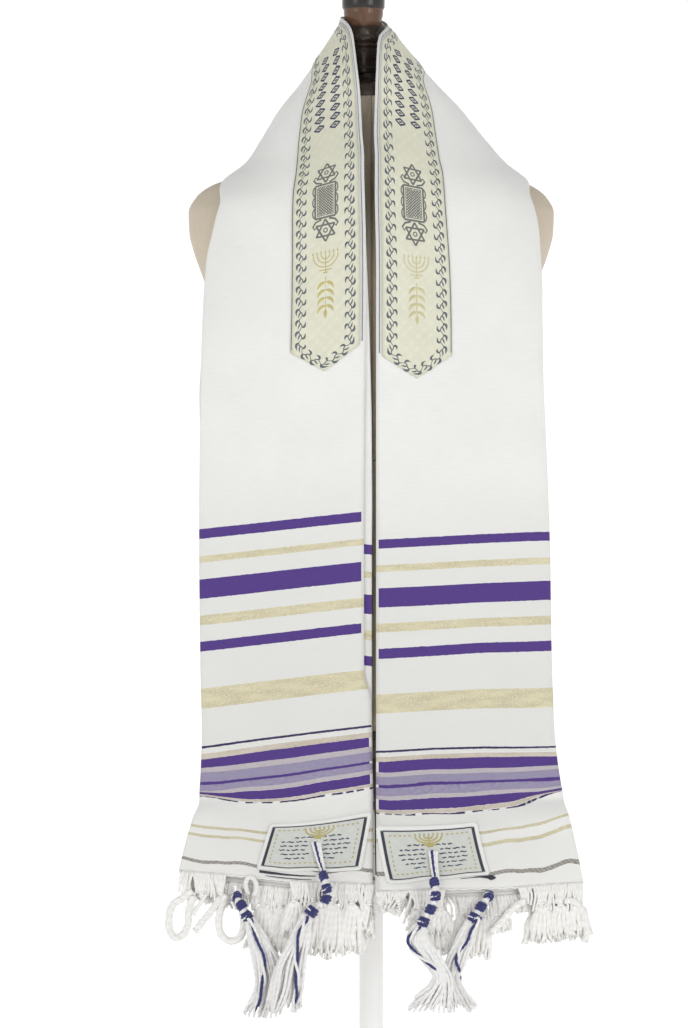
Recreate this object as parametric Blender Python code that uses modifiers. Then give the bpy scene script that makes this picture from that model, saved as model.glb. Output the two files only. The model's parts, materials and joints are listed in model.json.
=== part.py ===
"""Tallit prayer shawl hung round the neck of a dress form on its stand.

The shawl is one woven length, folded lengthwise into three layers and laid round the neck
like a stole, so that both ends hang down the front side by side.  A brocade neckband lies
along its inner edge, a brocade patch lies on each corner, and each end carries a knotted
fringe and two tied corner tassels.  It hangs on a limbless linen-covered form with a turned
wooden neck, which stands on a steel pole and a round base plate.

Blender's unit here is the metre, +Z is up and -Y is the front.  The tables are in
millimetres.  The origin is the middle of the base plate's underside.
"""
import math
from collections import namedtuple

import bmesh
import bpy
import numpy as np
from mathutils import Vector

# ---------------------------------------------------------------- driving sizes, millimetres
MM = 0.001              # metres in one millimetre
LEFT = -1
RIGHT = 1
REACH = 1200.0          # height above the floor that every "drop" is measured down from
SEAM = 0.3              # clear gap between pieces that are sewn or rest on each other
WALL = 1.0              # thickness of the shawl's cloth
TRIM_THICK = 0.8        # thickness of the neckband and of the corner patches

SELVAGE = 6.0           # plain edge left between the shawl's inner edge and the neckband
BAND_WIDTH = 70.0       # width of the neckband
BAND_POINT = 22.0       # length of its pointed end
BAND_END = {LEFT: 508.0, RIGHT: 516.0}  # from the hem to the tip of the point
BAND_RISE = 0.1         # extra gap under the neckband, whose facets turn with the neck
BAND_TIP_ROWS = 2       # rows of the neckband from its pointed end to the first row of cloth

PATCH_EDGE = 8.0        # from the inner edge to the corner patch
PATCH_WIDTH = 95.0
PATCH_HEIGHT = 54.0
PATCH_HEM = 10.0        # from the hem up to the patch

FREE_EDGE = 6.0         # how far the hidden free edge stops short of the outer fold
LAYERS = 3
OUTER_COLUMNS = 3       # columns of the cloth from the neckband out to the fold
WAVE_LENGTH = 118.0     # of the soft waves near the hem
WAVE_START = {LEFT: 0.9, RIGHT: 2.6}

STRIP_HEIGHT = 4.0      # woven strip that the fringe hangs from
FRINGE_THICK = 2.0
BUNCH_PITCH = 19.0      # from one knotted bunch of the fringe to the next
STRAND_WIDTH = 3.0
TURN_DOWN = 16.0        # how soon the fringe turns from the cloth's slope to straight down
NET_DROP = 19.0         # from the strip down to the knots
KNOT_HEIGHT = 6.0
KNOT_TOP = 0.8          # a knot's width at its top, as a share of its width below
KNOT_SHIFT = 1.5        # unevenness of the knots' places
FRINGE_DROP = 72.0      # from the strip down to the ends
DROP_SHIFT = 5.0        # unevenness of the ends' lengths
BEND = 0.4              # where a strand bends, as a share of its length below the knot
SWAY = 7.0              # how far the ends swing to either side
SWELL = 1.4             # how far they swing forwards and back
FLARE = 16.0            # how far the outermost ends swing outwards

STRANDS = 8             # strands of one corner tassel
STRAND_RADIUS = 1.1
STRAND_SIDES = 3
STRAND_INSET = 1.6      # from a knot's rim to its strands' middles, in strand radii
CORD_SIDES = 6

POLE_RADIUS = 12.5
BASE_RADIUS = 185.0
BASE_HEIGHT = 12.0
TORSO_SIDES = 32
TORSO_SQUARE = 2.15     # 2 is a plain oval, more is squarer
TURNED_STEPS = 20

# ---------------------------------------------------------------- tables

# The surface that the shawl lies along: an oval at each drop, split into a left, right,
# front and back half-axis, with its middle shifted sideways by "centre".
Level = namedtuple("Level", "drop centre left right front back")
DRAPE = [
    Level(-2, -8, 25, 25, 30, 34),
    Level(10, -7.5, 28, 28, 34, 38),
    Level(22, -7, 35, 35, 39, 43),
    Level(46, -6, 49, 50, 49, 51),
    Level(72, -5, 68, 72, 58, 60),
    Level(98, -4, 90, 96, 64, 62),
    Level(129, -2, 111, 119, 76, 71),
    Level(154, 0, 130, 139, 88, 78),
    Level(175, 0, 161, 169, 96, 85),
    Level(198, 0, 191, 193, 103, 92),
    Level(240, 0, 208, 212, 112, 100),
    Level(290, 0, 235, 240, 117, 104),
    Level(340, 0, 268, 270, 119, 104),
    Level(403, 0, 305, 305, 119, 104),
    Level(529, 0, 350, 350, 119, 104),
    Level(688, 0, 395, 395, 119, 104),
    Level(770, 0, 415, 415, 119, 104),
    Level(800, 0, 420, 420, 123, 104),
    Level(830, 0, 420, 420, 136, 104),
    Level(860, 0, 420, 420, 152, 104),
    Level(900, 0, 420, 420, 174, 104),
]

# How deep the soft waves across the panels are.
Wave = namedtuple("Wave", "drop depth")
WAVES = [Wave(0, 0), Wave(560, 0), Wave(700, 1.0), Wave(800, 2.4), Wave(900, 3.4)]

# Sections across the front panels, from the hem up.  "inner" is the shawl's edge at the
# middle of the body and "outer" the fold at the side.  "slant" is how far one layer's woven
# stripes fall from inner to outer, "tuck" how far the inner fold of the hidden layers peeks
# past the front edge, "pitch" the distance from one layer to the next, and "steps" the
# number of rows of the cloth up to the next section.
Section = namedtuple("Section", "inner_x inner_drop outer_x outer_drop slant tuck pitch steps")
PANEL = {
    LEFT: [
        Section(-3, 880, -190, 868, 2, 3, 4.2, 2),
        Section(-4, 850, -184, 842, 4, 4, 3.8, 2),
        Section(-5, 820, -177, 818, 8, 5, 3.4, 2),
        Section(-6, 788, -171, 799, 12, 6, 3.0, 2),
        Section(-8, 727, -169, 746, 17, 6.5, 2.5, 1),
        Section(-8, 671, -170, 688, 17, 6.5, 2.4, 2),
        Section(-8, 511, -172, 529, 17, 6.5, 2.4, 2),
        Section(-7, 385, -171, 403, 17, 5, 2.4, 2),
        Section(-6, 310, -170, 335, 10, 2, 2.4, 2),
        Section(-6, 250, -168, 284, 4, -1, 2.4, 2),
        Section(-7, 199, -163, 240, 0, -3, 2.4, 2),
        Section(-8, 147, -153, 200, 0, -3, 2.4, 2),
    ],
    RIGHT: [
        Section(5, 886, 208, 880, 2, -3, 4.2, 2),
        Section(4, 856, 202, 846, 1, -3, 3.8, 2),
        Section(4, 828, 196, 818, 0, -3, 3.4, 2),
        Section(4, 798, 190, 796, -3, -3, 3.0, 2),
        Section(4, 752, 183, 746, -6, -3, 2.5, 1),
        Section(4, 695, 180, 688, -8, -3, 2.4, 2),
        Section(4, 540, 177, 532, -8, -3, 2.4, 2),
        Section(4, 405, 172, 400, -6, -3, 2.4, 2),
        Section(4, 318, 171, 322, 0, -3, 2.4, 2),
        Section(4, 252, 171, 272, 0, -3, 2.4, 2),
        Section(3, 199, 169, 231, 0, -3, 2.4, 2),
        Section(3, 147, 161, 192, 0, -3, 2.4, 2),
    ],
}

# Sections round the neck, on to the middle of the back.  A turn is an angle round the neck:
# 180 is the middle of the front, 90 the side and 0 the middle of the back.
Turned = namedtuple("Turned", "inner_turn inner_drop outer_turn outer_drop steps")
COLLAR = [
    Turned(175.5, 96, 106, 172, 2),
    Turned(170, 58, 91, 157, 2),
    Turned(156, 26, 76, 157, 2),
    Turned(125, 14, 58, 163, 2),
    Turned(85, 7, 38, 169, 2),
    Turned(45, 1, 19, 174, 2),
    Turned(0, -2, 0, 176, 0),
]
COLLAR_PITCH = 2.4
COLLAR_TUCK = -3.0

# The linen-covered torso: an oval with squared corners at each drop.
Girth = namedtuple("Girth", "drop half front back")
TORSO = [
    Girth(88, 50, 47, 50),
    Girth(104, 50, 48, 52),
    Girth(122, 55, 50, 57),
    Girth(138, 74, 54, 64),
    Girth(150, 99, 56, 68),
    Girth(161, 125, 56, 71),
    Girth(169, 145, 56, 73),
    Girth(177, 166, 58, 76),
    Girth(188, 180, 65, 80),
    Girth(204, 188, 76, 84),
    Girth(226, 187, 88, 88),
    Girth(246, 182, 96, 91),
    Girth(280, 170, 102, 93),
    Girth(325, 159, 105, 92),
    Girth(385, 149, 104, 87),
    Girth(460, 134, 93, 80),
    Girth(550, 143, 97, 90),
    Girth(630, 156, 104, 102),
    Girth(700, 159, 104, 105),
    Girth(732, 157, 102, 104),
]

# Turned profiles, as radius and height above the part they stand on.
Turning = namedtuple("Turning", "radius height")
NECK_CAP = [
    Turning(46, 0), Turning(47, 3), Turning(46, 9), Turning(40, 14), Turning(26, 18),
    Turning(17, 21), Turning(14, 26),
]
FINIAL = [
    Turning(9, 0), Turning(11, 2), Turning(11, 6), Turning(9, 9), Turning(9, 14),
    Turning(13, 19), Turning(13, 23), Turning(10, 27), Turning(9, 38), Turning(12, 44),
    Turning(11.5, 50), Turning(15, 57), Turning(19.5, 64), Turning(20.5, 70),
    Turning(21.5, 74), Turning(21.5, 86), Turning(18, 92), Turning(12, 97), Turning(7, 101),
    Turning(9, 107), Turning(8, 114), Turning(4, 119),
]
NECK_CAP_X = -3.0
FINIAL_X = -8.0
SPIGOT = [
    Turning(15, 0), Turning(18, 6), Turning(18, 24), Turning(15, 34), Turning(15, 118),
    Turning(22, 130), Turning(34, 140), Turning(34, 152),
]

# Corner tassels.  The cord starts on the cloth at a place given from the inner edge and up
# from the hem, then hangs free: x, drop and depth are in the room, radius is the cord's.
Perch = namedtuple("Perch", "across up radius")
Knot = namedtuple("Knot", "x drop depth radius")
Spread = namedtuple("Spread", "x drop depth half_x half_y")
Tassel = namedtuple("Tassel", "name side layer perches knots spreads")
TASSELS = [
    Tassel("tzitzit_left_front", LEFT, 0,
           [Perch(56, 42, 2.6), Perch(54, 28, 2.8), Perch(51, 12, 2.8), Perch(49, 3, 3.0)],
           [Knot(-48, 880, -178, 5.2), Knot(-46, 886, -181, 3.4), Knot(-45, 891, -182, 5.6),
            Knot(-45, 896, -182, 3.4), Knot(-46, 902, -182, 5.6), Knot(-52, 908, -183, 4.0),
            Knot(-60, 913, -184, 7.0), Knot(-63, 919, -184, 5.0)],
           [Spread(-66, 934, -184, 10, 5), Spread(-74, 960, -184, 15, 6),
            Spread(-78, 985, -184, 15, 6), Spread(-82, 1012, -184, 20, 6)]),
    Tassel("tzitzit_left_back", LEFT, 2,
           [Perch(113, 42, 2.6), Perch(116, 28, 2.8), Perch(122, 12, 2.8), Perch(126, 2, 3.0)],
           [Knot(-129, 891, -143, 3.0), Knot(-132, 897, -151, 3.4), Knot(-134, 902, -160, 5.4),
            Knot(-132, 906, -165, 4.0), Knot(-129, 910, -167, 5.8), Knot(-127, 914, -168, 4.2),
            Knot(-125, 918, -168, 6.2), Knot(-123, 924, -168, 4.6)],
           [Spread(-118, 942, -168, 7, 5), Spread(-110, 962, -168, 12, 5),
            Spread(-107, 985, -168, 13, 5), Spread(-110, 1014, -168, 16, 5)]),
    Tassel("tzitzit_right_front", RIGHT, 0,
           [Perch(56, 42, 2.6), Perch(55, 28, 2.8), Perch(56, 12, 2.8), Perch(56, 3, 3.0)],
           [Knot(62, 886, -182, 5.4), Knot(63, 891, -185, 3.4), Knot(63, 896, -186, 5.8),
            Knot(61, 902, -186, 3.6), Knot(58, 908, -186, 5.8), Knot(54, 914, -187, 3.8),
            Knot(51, 921, -187, 6.4), Knot(48, 928, -187, 4.6)],
           [Spread(43, 944, -187, 9, 5), Spread(56, 964, -187, 9, 5),
            Spread(66, 980, -187, 8, 5), Spread(52, 1008, -187, 20, 6)]),
    Tassel("tzitzit_right_back", RIGHT, 2,
           [Perch(120, 42, 2.6), Perch(119, 28, 2.8), Perch(116, 12, 2.8), Perch(114, 2, 3.0)],
           [Knot(115, 895, -149, 3.0), Knot(115, 900, -156, 3.4), Knot(114, 904, -164, 5.4),
            Knot(111, 908, -169, 4.0), Knot(107, 912, -171, 5.8), Knot(104, 916, -171, 4.2),
            Knot(101, 920, -171, 6.2), Knot(100, 926, -171, 4.6)],
           [Spread(97, 940, -171, 7, 5), Spread(88, 960, -171, 8, 5),
            Spread(82, 980, -171, 8, 5), Spread(92, 1010, -171, 17, 5)]),
]
# Where each end's fringe is pushed aside, measured along its hem from the inner edge.
PARTINGS = {(LEFT, 0): (85, 150), (LEFT, 2): (85, 150),
            (RIGHT, 0): (60, 135), (RIGHT, 2): (70, 135)}


# ---------------------------------------------------------------- curves and the drape
def column(rows, name):
    """One named column of a table as an array."""
    return np.array([getattr(row, name) for row in rows], dtype=float)


def smooth_curve(knots, values):
    """A function through the given values that never swings past them."""
    knots = np.asarray(knots, dtype=float)
    values = np.asarray(values, dtype=float)
    gaps = np.diff(knots)
    slopes = np.diff(values) / gaps
    tangents = np.zeros_like(values)
    tangents[0] = slopes[0]
    tangents[-1] = slopes[-1]
    for i in range(1, len(values) - 1):
        if slopes[i - 1] * slopes[i] > 0:
            before = 2 * gaps[i] + gaps[i - 1]
            after = gaps[i] + 2 * gaps[i - 1]
            tangents[i] = (before + after) / (before / slopes[i - 1] + after / slopes[i])

    def value_at(x):
        i = int(np.clip(np.searchsorted(knots, x) - 1, 0, len(gaps) - 1))
        t = (x - knots[i]) / gaps[i]
        rise = values[i + 1] - values[i]
        start = tangents[i] * gaps[i]
        end = tangents[i + 1] * gaps[i]
        return float(values[i] + t * start + t * t * (3 * rise - 2 * start - end)
                     + t * t * t * (start + end - 2 * rise))

    return value_at


DRAPE_AT = {name: smooth_curve(column(DRAPE, "drop"), column(DRAPE, name))
            for name in ("centre", "left", "right", "front", "back")}
DRAPE_WAVE = smooth_curve(column(WAVES, "drop"), column(WAVES, "depth"))


def half_width(side, drop):
    return DRAPE_AT["left" if side == LEFT else "right"](drop)


def drape_point(side, turn, drop):
    """A point of the surface that the shawl's front layer lies along."""
    angle = math.radians(turn)
    across = side * half_width(side, drop) * math.sin(angle)
    depth = DRAPE_AT["back" if turn < 90 else "front"](drop) * math.cos(angle)
    wave = DRAPE_WAVE(drop) * math.cos(2 * math.pi * across / WAVE_LENGTH + WAVE_START[side])
    return Vector((DRAPE_AT["centre"](drop) + across, depth + wave, REACH - drop))


def drape_normal(side, turn, drop):
    """The outward direction of that surface."""
    step = 0.5
    round_neck = drape_point(side, turn + step, drop) - drape_point(side, turn - step, drop)
    downward = drape_point(side, turn, drop + step) - drape_point(side, turn, drop - step)
    outward = round_neck.cross(downward) * side
    return outward.normalized()


def turn_at(side, x, drop):
    """The turn of a place on the front, given by its x."""
    share = (x - DRAPE_AT["centre"](drop)) * side / half_width(side, drop)
    return 180.0 - math.degrees(math.asin(max(-1.0, min(1.0, share))))


# ---------------------------------------------------------------- the folded shawl
# Rows of the cloth run from the hem to the middle of the back, and columns from the inner
# edge to the outer fold.  The first columns sit at the neckband's edges and middle.
BAND_COLUMNS = (0.0, SELVAGE, SELVAGE + BAND_WIDTH / 2, SELVAGE + BAND_WIDTH)
COLUMNS = len(BAND_COLUMNS) + OUTER_COLUMNS
Row = namedtuple("Row", "inner outer slant tuck pitch")


def half_rows(side):
    """Rows of one half of the shawl, each with its edges as (turn, drop) pairs."""
    edges = []
    for row in PANEL[side]:
        inner = (turn_at(side, row.inner_x, row.inner_drop), row.inner_drop)
        outer = (turn_at(side, row.outer_x, row.outer_drop), row.outer_drop)
        edges.append((*inner, *outer, row.slant, row.tuck, row.pitch, row.steps))
    for row in COLLAR:
        edges.append((row.inner_turn, row.inner_drop, row.outer_turn, row.outer_drop,
                      0.0, COLLAR_TUCK, COLLAR_PITCH, row.steps))
    runs = [0.0]
    for lower, upper in zip(edges, edges[1:]):
        inner_run = drape_point(side, *upper[0:2]) - drape_point(side, *lower[0:2])
        outer_run = drape_point(side, *upper[2:4]) - drape_point(side, *lower[2:4])
        runs.append(runs[-1] + (inner_run.length + outer_run.length) / 2)
    tracks = [smooth_curve(runs, [edge[i] for edge in edges]) for i in range(7)]
    rows = []
    for i, edge in enumerate(edges):
        steps = edge[7]
        for step in range(max(1, steps)):
            share = step / steps if steps else 0.0
            run = runs[i] + share * (runs[min(i + 1, len(runs) - 1)] - runs[i])
            values = [track(run) for track in tracks]
            rows.append(Row(values[0:2], values[2:4], *values[4:7]))
    return rows


def column_widths(width):
    """How far from the inner edge each column sits, in a layer of this width."""
    rest = width - BAND_COLUMNS[-1]
    outer = [BAND_COLUMNS[-1] + rest * i / OUTER_COLUMNS for i in range(1, OUTER_COLUMNS + 1)]
    return list(BAND_COLUMNS) + outer


def column_shares(side, row):
    """The columns' places as shares of the layer's width, and that width."""
    places = np.linspace(0, 1, 25)
    points = [drape_point(side, *mixed(row.inner, row.outer, share)) for share in places]
    lengths = np.cumsum([0.0] + [(b - a).length for a, b in zip(points, points[1:])])
    return np.interp(column_widths(lengths[-1]), lengths, places), lengths[-1]


def mixed(a, b, share):
    return [a[0] + (b[0] - a[0]) * share, a[1] + (b[1] - a[1]) * share]


class ClothHalf:
    """Points and outward directions of the three layers of one half of the shawl."""

    def __init__(self, side):
        self.side = side
        self.rows = half_rows(side)
        self.points = []
        self.normals = []
        self.widths = []
        for row in self.rows:
            shares, width = column_shares(side, row)
            self.widths.append(width)
            inside = -row.tuck / width
            far_in = mixed(row.inner, row.outer, inside)
            far_in[1] += 2 * row.slant
            free = mixed(row.inner, row.outer, 1 - FREE_EDGE / width)
            free[1] += 2 * row.slant
            ends = [(row.inner, row.outer), (far_in, row.outer), (far_in, free)]
            places = [[mixed(a, b, share) for share in shares] for a, b in ends]
            normals = [[drape_normal(side, *p) for p in layer] for layer in places]
            points = [[drape_point(side, *p) - n * row.pitch * depth
                       for p, n in zip(places[depth], normals[depth])]
                      for depth in range(LAYERS)]
            self.points.append(points)
            self.normals.append(normals)
        ups = [(b[0][3] - a[0][3]).length for a, b in zip(self.points, self.points[1:])]
        self.heights = np.cumsum([0.0] + ups)

    def folded_row(self, index):
        """One row of the whole folded cloth, from the front edge to the hidden free edge."""
        front, middle, back = self.points[index]
        half_pitch = self.rows[index].pitch / 2
        outward = (front[-1] - front[-2]).normalized()
        inward = (middle[0] - middle[1]).normalized()
        outer_fold = (front[-1] + middle[-1]) / 2 + outward * half_pitch
        inner_fold = (middle[0] + back[0]) / 2 + inward * half_pitch
        return front + [outer_fold] + middle[::-1] + [inner_fold] + back

    def on_layer(self, layer, row, column, lift):
        """A place on the layer's flat facets, given in rows and columns, moved outwards."""
        i = min(int(row), len(self.points) - 2)
        j = min(int(column), COLUMNS - 2)
        s = row - i
        t = column - j
        place = Vector((0, 0, 0))
        normal = Vector((0, 0, 0))
        for di, ws in ((0, 1 - s), (1, s)):
            for dj, wt in ((0, 1 - t), (1, t)):
                place += self.points[i + di][layer][j + dj] * (ws * wt)
                normal += self.normals[i + di][layer][j + dj] * (ws * wt)
        return place + normal.normalized() * lift

    def row_at(self, up):
        """The row, with its fraction, that lies this far up from the hem."""
        return float(np.interp(up, self.heights, range(len(self.heights))))

    def column_at(self, across, row):
        """The column, with its fraction, that lies this far across from the inner edge."""
        width = float(np.interp(row, range(len(self.widths)), self.widths))
        return float(np.interp(across, column_widths(width), range(COLUMNS)))


# ---------------------------------------------------------------- Blender helpers
def clear_scene():
    for leftover in list(bpy.data.objects):
        bpy.data.objects.remove(leftover, do_unlink=True)


def new_collection(name):
    collection = bpy.data.collections.new(name)
    bpy.context.scene.collection.children.link(collection)
    return collection


def finish_colour(name, colour, roughness, metallic=0.0):
    """A plain Principled material in the piece's own colour."""
    material = bpy.data.materials.new(name)
    material.use_nodes = True
    shader = material.node_tree.nodes["Principled BSDF"]
    shader.inputs["Base Color"].default_value = (*colour, 1.0)
    shader.inputs["Roughness"].default_value = roughness
    shader.inputs["Metallic"].default_value = metallic
    return material


def add_mesh(name, points, faces, material, collection, smooth_angle=None):
    """An object from points in millimetres, its faces turned outwards."""
    mesh = bpy.data.meshes.new(name)
    mesh.from_pydata([Vector(p) * MM for p in points], [], faces)
    work = bmesh.new()
    work.from_mesh(mesh)
    bmesh.ops.recalc_face_normals(work, faces=work.faces)
    work.to_mesh(mesh)
    work.free()
    if smooth_angle is not None:
        mesh.shade_smooth()
        mesh.set_sharp_from_angle(angle=math.radians(smooth_angle))
    mesh.materials.append(material)
    piece = bpy.data.objects.new(name, mesh)
    collection.objects.link(piece)
    return piece


def thicken(piece, thickness):
    """Turn an open sheet into a wall, half of it on each side."""
    shell = piece.modifiers.new("Wall", "SOLIDIFY")
    shell.thickness = thickness * MM
    shell.offset = 0.0
    shell.use_even_offset = True
    shell.use_quality_normals = True
    return piece


def add_sheet(name, grid, thickness, material, collection, turned_back=range(0)):
    """A wall from rows of points.

    Every four-sided patch is split the same way, and the other way in the columns that are
    turned back, so that the facets of layers on each other match.
    """
    across = len(grid[0])
    points = [p for row in grid for p in row]
    faces = []
    for i in range(len(grid) - 1):
        for j in range(across - 1):
            low = i * across + j
            high = low + across
            if j in turned_back:
                faces += [(low, low + 1, high), (low + 1, high + 1, high)]
            else:
                faces += [(low, low + 1, high + 1), (low, high + 1, high)]
    return thicken(add_mesh(name, points, faces, material, collection), thickness)


def add_rings(name, rings, material, collection):
    """A closed solid through rings of points, with flat ends."""
    sides = len(rings[0])
    points = [p for ring in rings for p in ring]
    faces = [(i * sides + j, i * sides + (j + 1) % sides,
              (i + 1) * sides + (j + 1) % sides, (i + 1) * sides + j)
             for i in range(len(rings) - 1) for j in range(sides)]
    faces.append(tuple(reversed(range(sides))))
    faces.append(tuple(range((len(rings) - 1) * sides, len(rings) * sides)))
    return add_mesh(name, points, faces, material, collection, smooth_angle=40)


def tube_rings(centres, radii, sides):
    """Rings of points round a path."""
    rings = []
    for i, (centre, radius) in enumerate(zip(centres, radii)):
        before = centres[max(0, i - 1)]
        after = centres[min(len(centres) - 1, i + 1)]
        along = (after - before).normalized()
        across = along.cross(Vector((0, 1, 0))).normalized()
        other = across.cross(along)
        rings.append([centre + (across * math.cos(2 * math.pi * k / sides)
                                + other * math.sin(2 * math.pi * k / sides)) * radius
                      for k in range(sides)])
    return rings


def add_turned(name, profile, x, foot, material, collection):
    """A turned solid standing at x with its foot at the given height."""
    outline = [Vector((0, 0, profile[-1].height))]
    outline += [Vector((row.radius, 0, row.height)) for row in reversed(profile)]
    outline.append(Vector((0, 0, profile[0].height)))
    mesh = bpy.data.meshes.new(name)
    mesh.from_pydata([p * MM for p in outline], [(i, i + 1) for i in range(len(outline) - 1)], [])
    mesh.materials.append(material)
    piece = bpy.data.objects.new(name, mesh)
    piece.location = Vector((x, 0, foot)) * MM
    collection.objects.link(piece)
    lathe = piece.modifiers.new("Lathe", "SCREW")
    lathe.steps = TURNED_STEPS
    lathe.render_steps = TURNED_STEPS
    lathe.use_merge_vertices = True
    lathe.merge_threshold = 0.0001
    return piece


# ---------------------------------------------------------------- the shawl's own pieces
def make_cloth(halves, material, collection):
    left = [halves[LEFT].folded_row(i) for i in range(len(halves[LEFT].rows))]
    right = [halves[RIGHT].folded_row(i) for i in range(len(halves[RIGHT].rows) - 1)]
    middle_layer = range(COLUMNS + 1, 2 * COLUMNS)
    return add_sheet("shawl_cloth", left + right[::-1], WALL, material, collection,
                     middle_layer)


TRIM_LIFT = WALL / 2 + SEAM + TRIM_THICK / 2
BAND_LIFT = TRIM_LIFT + BAND_RISE


def make_neckband(halves, material, collection):
    """The long brocade strip, its ends cut to a point."""
    columns = (1, 2, 3)
    halves_grid = []
    for side in (LEFT, RIGHT):
        half = halves[side]
        tip = half.row_at(BAND_END[side])
        shoulder = half.row_at(BAND_END[side] + BAND_POINT)
        first = math.ceil(shoulder)
        grid = []
        for step in range(BAND_TIP_ROWS):
            share = step / BAND_TIP_ROWS
            ends = (shoulder, tip, shoulder)
            grid.append([half.on_layer(0, end + (first - end) * share, c, BAND_LIFT)
                         for c, end in zip(columns, ends)])
        last = len(half.rows) - (1 if side == RIGHT else 0)
        grid += [[half.on_layer(0, i, c, BAND_LIFT) for c in columns]
                 for i in range(first, last)]
        halves_grid.append(grid)
    rows = halves_grid[0] + halves_grid[1][::-1]
    return add_sheet("atarah_band", rows, TRIM_THICK, material, collection)


def between(first, last):
    """Both ends and every whole number between them."""
    middle = [float(i) for i in range(math.ceil(first + 0.05), math.floor(last - 0.05) + 1)]
    return [first] + middle + [last]


def make_patch(name, half, layer, material, collection):
    """A corner patch on one layer; the hidden one is measured from the cloth's free edge."""
    low = half.row_at(PATCH_HEM)
    high = half.row_at(PATCH_HEM + PATCH_HEIGHT)
    near = PATCH_EDGE
    far = PATCH_EDGE + PATCH_WIDTH
    if layer == 2:
        near = half.widths[0] - FREE_EDGE - far
        far = near + PATCH_WIDTH
    columns = between(half.column_at(near, low), half.column_at(far, low))
    grid = [[half.on_layer(layer, row, c, TRIM_LIFT) for c in columns]
            for row in between(low, high)]
    if half.side == RIGHT:
        grid.reverse()
    return add_sheet(name, grid, TRIM_THICK, material, collection)


def jitter(seed, index):
    """A steady made-up unevenness between -1 and 1."""
    return math.sin(12.9898 * (index + 1) + 78.233 * seed)


def make_fringe(name, half, layer, seed, parting, material, collection):
    """A strip along the hem with a net of crossed legs, knots and hanging strands.

    The bunches between the two ends of the parting are pushed aside and left out.
    """
    hem = [half.on_layer(layer, 0, c, 0) for c in range(COLUMNS)]
    above = [half.on_layer(layer, 0.5, c, 0) for c in range(COLUMNS)]
    lengths = np.cumsum([0.0] + [(b - a).length for a, b in zip(hem, hem[1:])])
    bunches = int(lengths[-1] / BUNCH_PITCH)
    pitch = lengths[-1] / bunches

    def place(along, down, sway=0.0, swell=0.0):
        """A point given along the hem and down from it, as the fringe hangs."""
        c = float(np.interp(along, lengths, range(COLUMNS)))
        j = min(int(c), COLUMNS - 2)
        root = hem[j].lerp(hem[j + 1], c - j)
        slope = (root - above[j].lerp(above[j + 1], c - j)).normalized()
        reach = TURN_DOWN * (1 - math.exp(-down / TURN_DOWN))
        return root + slope * reach + Vector((sway, swell, reach - down))

    points = []
    faces = []

    def add(*spots):
        points.extend(spots)
        return list(range(len(points) - len(spots), len(points)))

    half_leg = STRAND_WIDTH
    middles = [(i + 0.5) * pitch for i in range(bunches)]
    kept = [not parting[0] < middle < parting[1] for middle in middles]
    spots = [0.0, lengths[-1]]
    for middle in middles:
        spots += [middle - half_leg, middle, middle + half_leg]
    spots = sorted(spots + [float(v) for v in lengths[1:-1]
                            if min(abs(v - middle) for middle in middles) > half_leg + 1])
    top = add(*[place(a, SEAM) for a in spots])
    bottom = add(*[place(a, SEAM + STRIP_HEIGHT) for a in spots])
    faces += [(top[i], top[i + 1], bottom[i + 1], bottom[i]) for i in range(len(spots) - 1)]

    def ribbon(pair, targets):
        """A strand from an existing edge through pairs of points."""
        for target in targets:
            fresh = add(*target)
            faces.append((pair[0], pair[1], fresh[1], fresh[0]))
            pair = fresh

    knots = {}
    heads = {}
    for k in range(bunches + 1):
        if not (k > 0 and kept[k - 1]) and not (k < bunches and kept[k]):
            continue
        at = k * pitch + KNOT_SHIFT * jitter(seed, k)
        at = min(max(at, STRAND_WIDTH), lengths[-1] - STRAND_WIDTH)
        down = NET_DROP + KNOT_SHIFT * jitter(seed + 1, k)
        head = add(*[place(at + s * STRAND_WIDTH * KNOT_TOP, down) for s in (-1, 0, 1)])
        foot = add(*[place(at + s * STRAND_WIDTH, down + KNOT_HEIGHT) for s in (-1, 0, 1)])
        faces.append((head[0], head[1], foot[1], foot[0]))
        faces.append((head[1], head[2], foot[2], foot[1]))
        knots[k] = (at, down, foot)
        heads[k] = head
    for i, middle in enumerate(middles):
        if not kept[i]:
            continue
        left_edge, centre, right_edge = (spots.index(middle + s * half_leg) for s in (-1, 0, 1))
        faces.append((bottom[left_edge], bottom[centre], heads[i][2], heads[i][1]))
        faces.append((bottom[centre], bottom[right_edge], heads[i + 1][1], heads[i + 1][0]))
    for k, (at, down, foot) in knots.items():
        length = FRINGE_DROP + DROP_SHIFT * jitter(seed + 2, k)
        outwards = max(0.0, 2 * at / lengths[-1] - 1) ** 2 * half.side
        sway = SWAY * jitter(seed + 3, k) + FLARE * outwards
        for s, pair in ((-1, foot[:2]), (1, foot[1:])):
            targets = []
            for share in (BEND, 1.0):
                level = down + KNOT_HEIGHT + (length - down - KNOT_HEIGHT) * share
                centre = at + s * STRAND_WIDTH * (0.75 + share / 1.5)
                lean = sway * share * share
                swell = SWELL * jitter(seed + 4, 2 * k + s) * share
                targets.append([place(centre + e * STRAND_WIDTH / 2, level, lean, swell)
                                for e in (-1, 1)])
            ribbon(pair, targets)
    return thicken(add_mesh(name, points, faces, material, collection), FRINGE_THICK)


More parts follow.
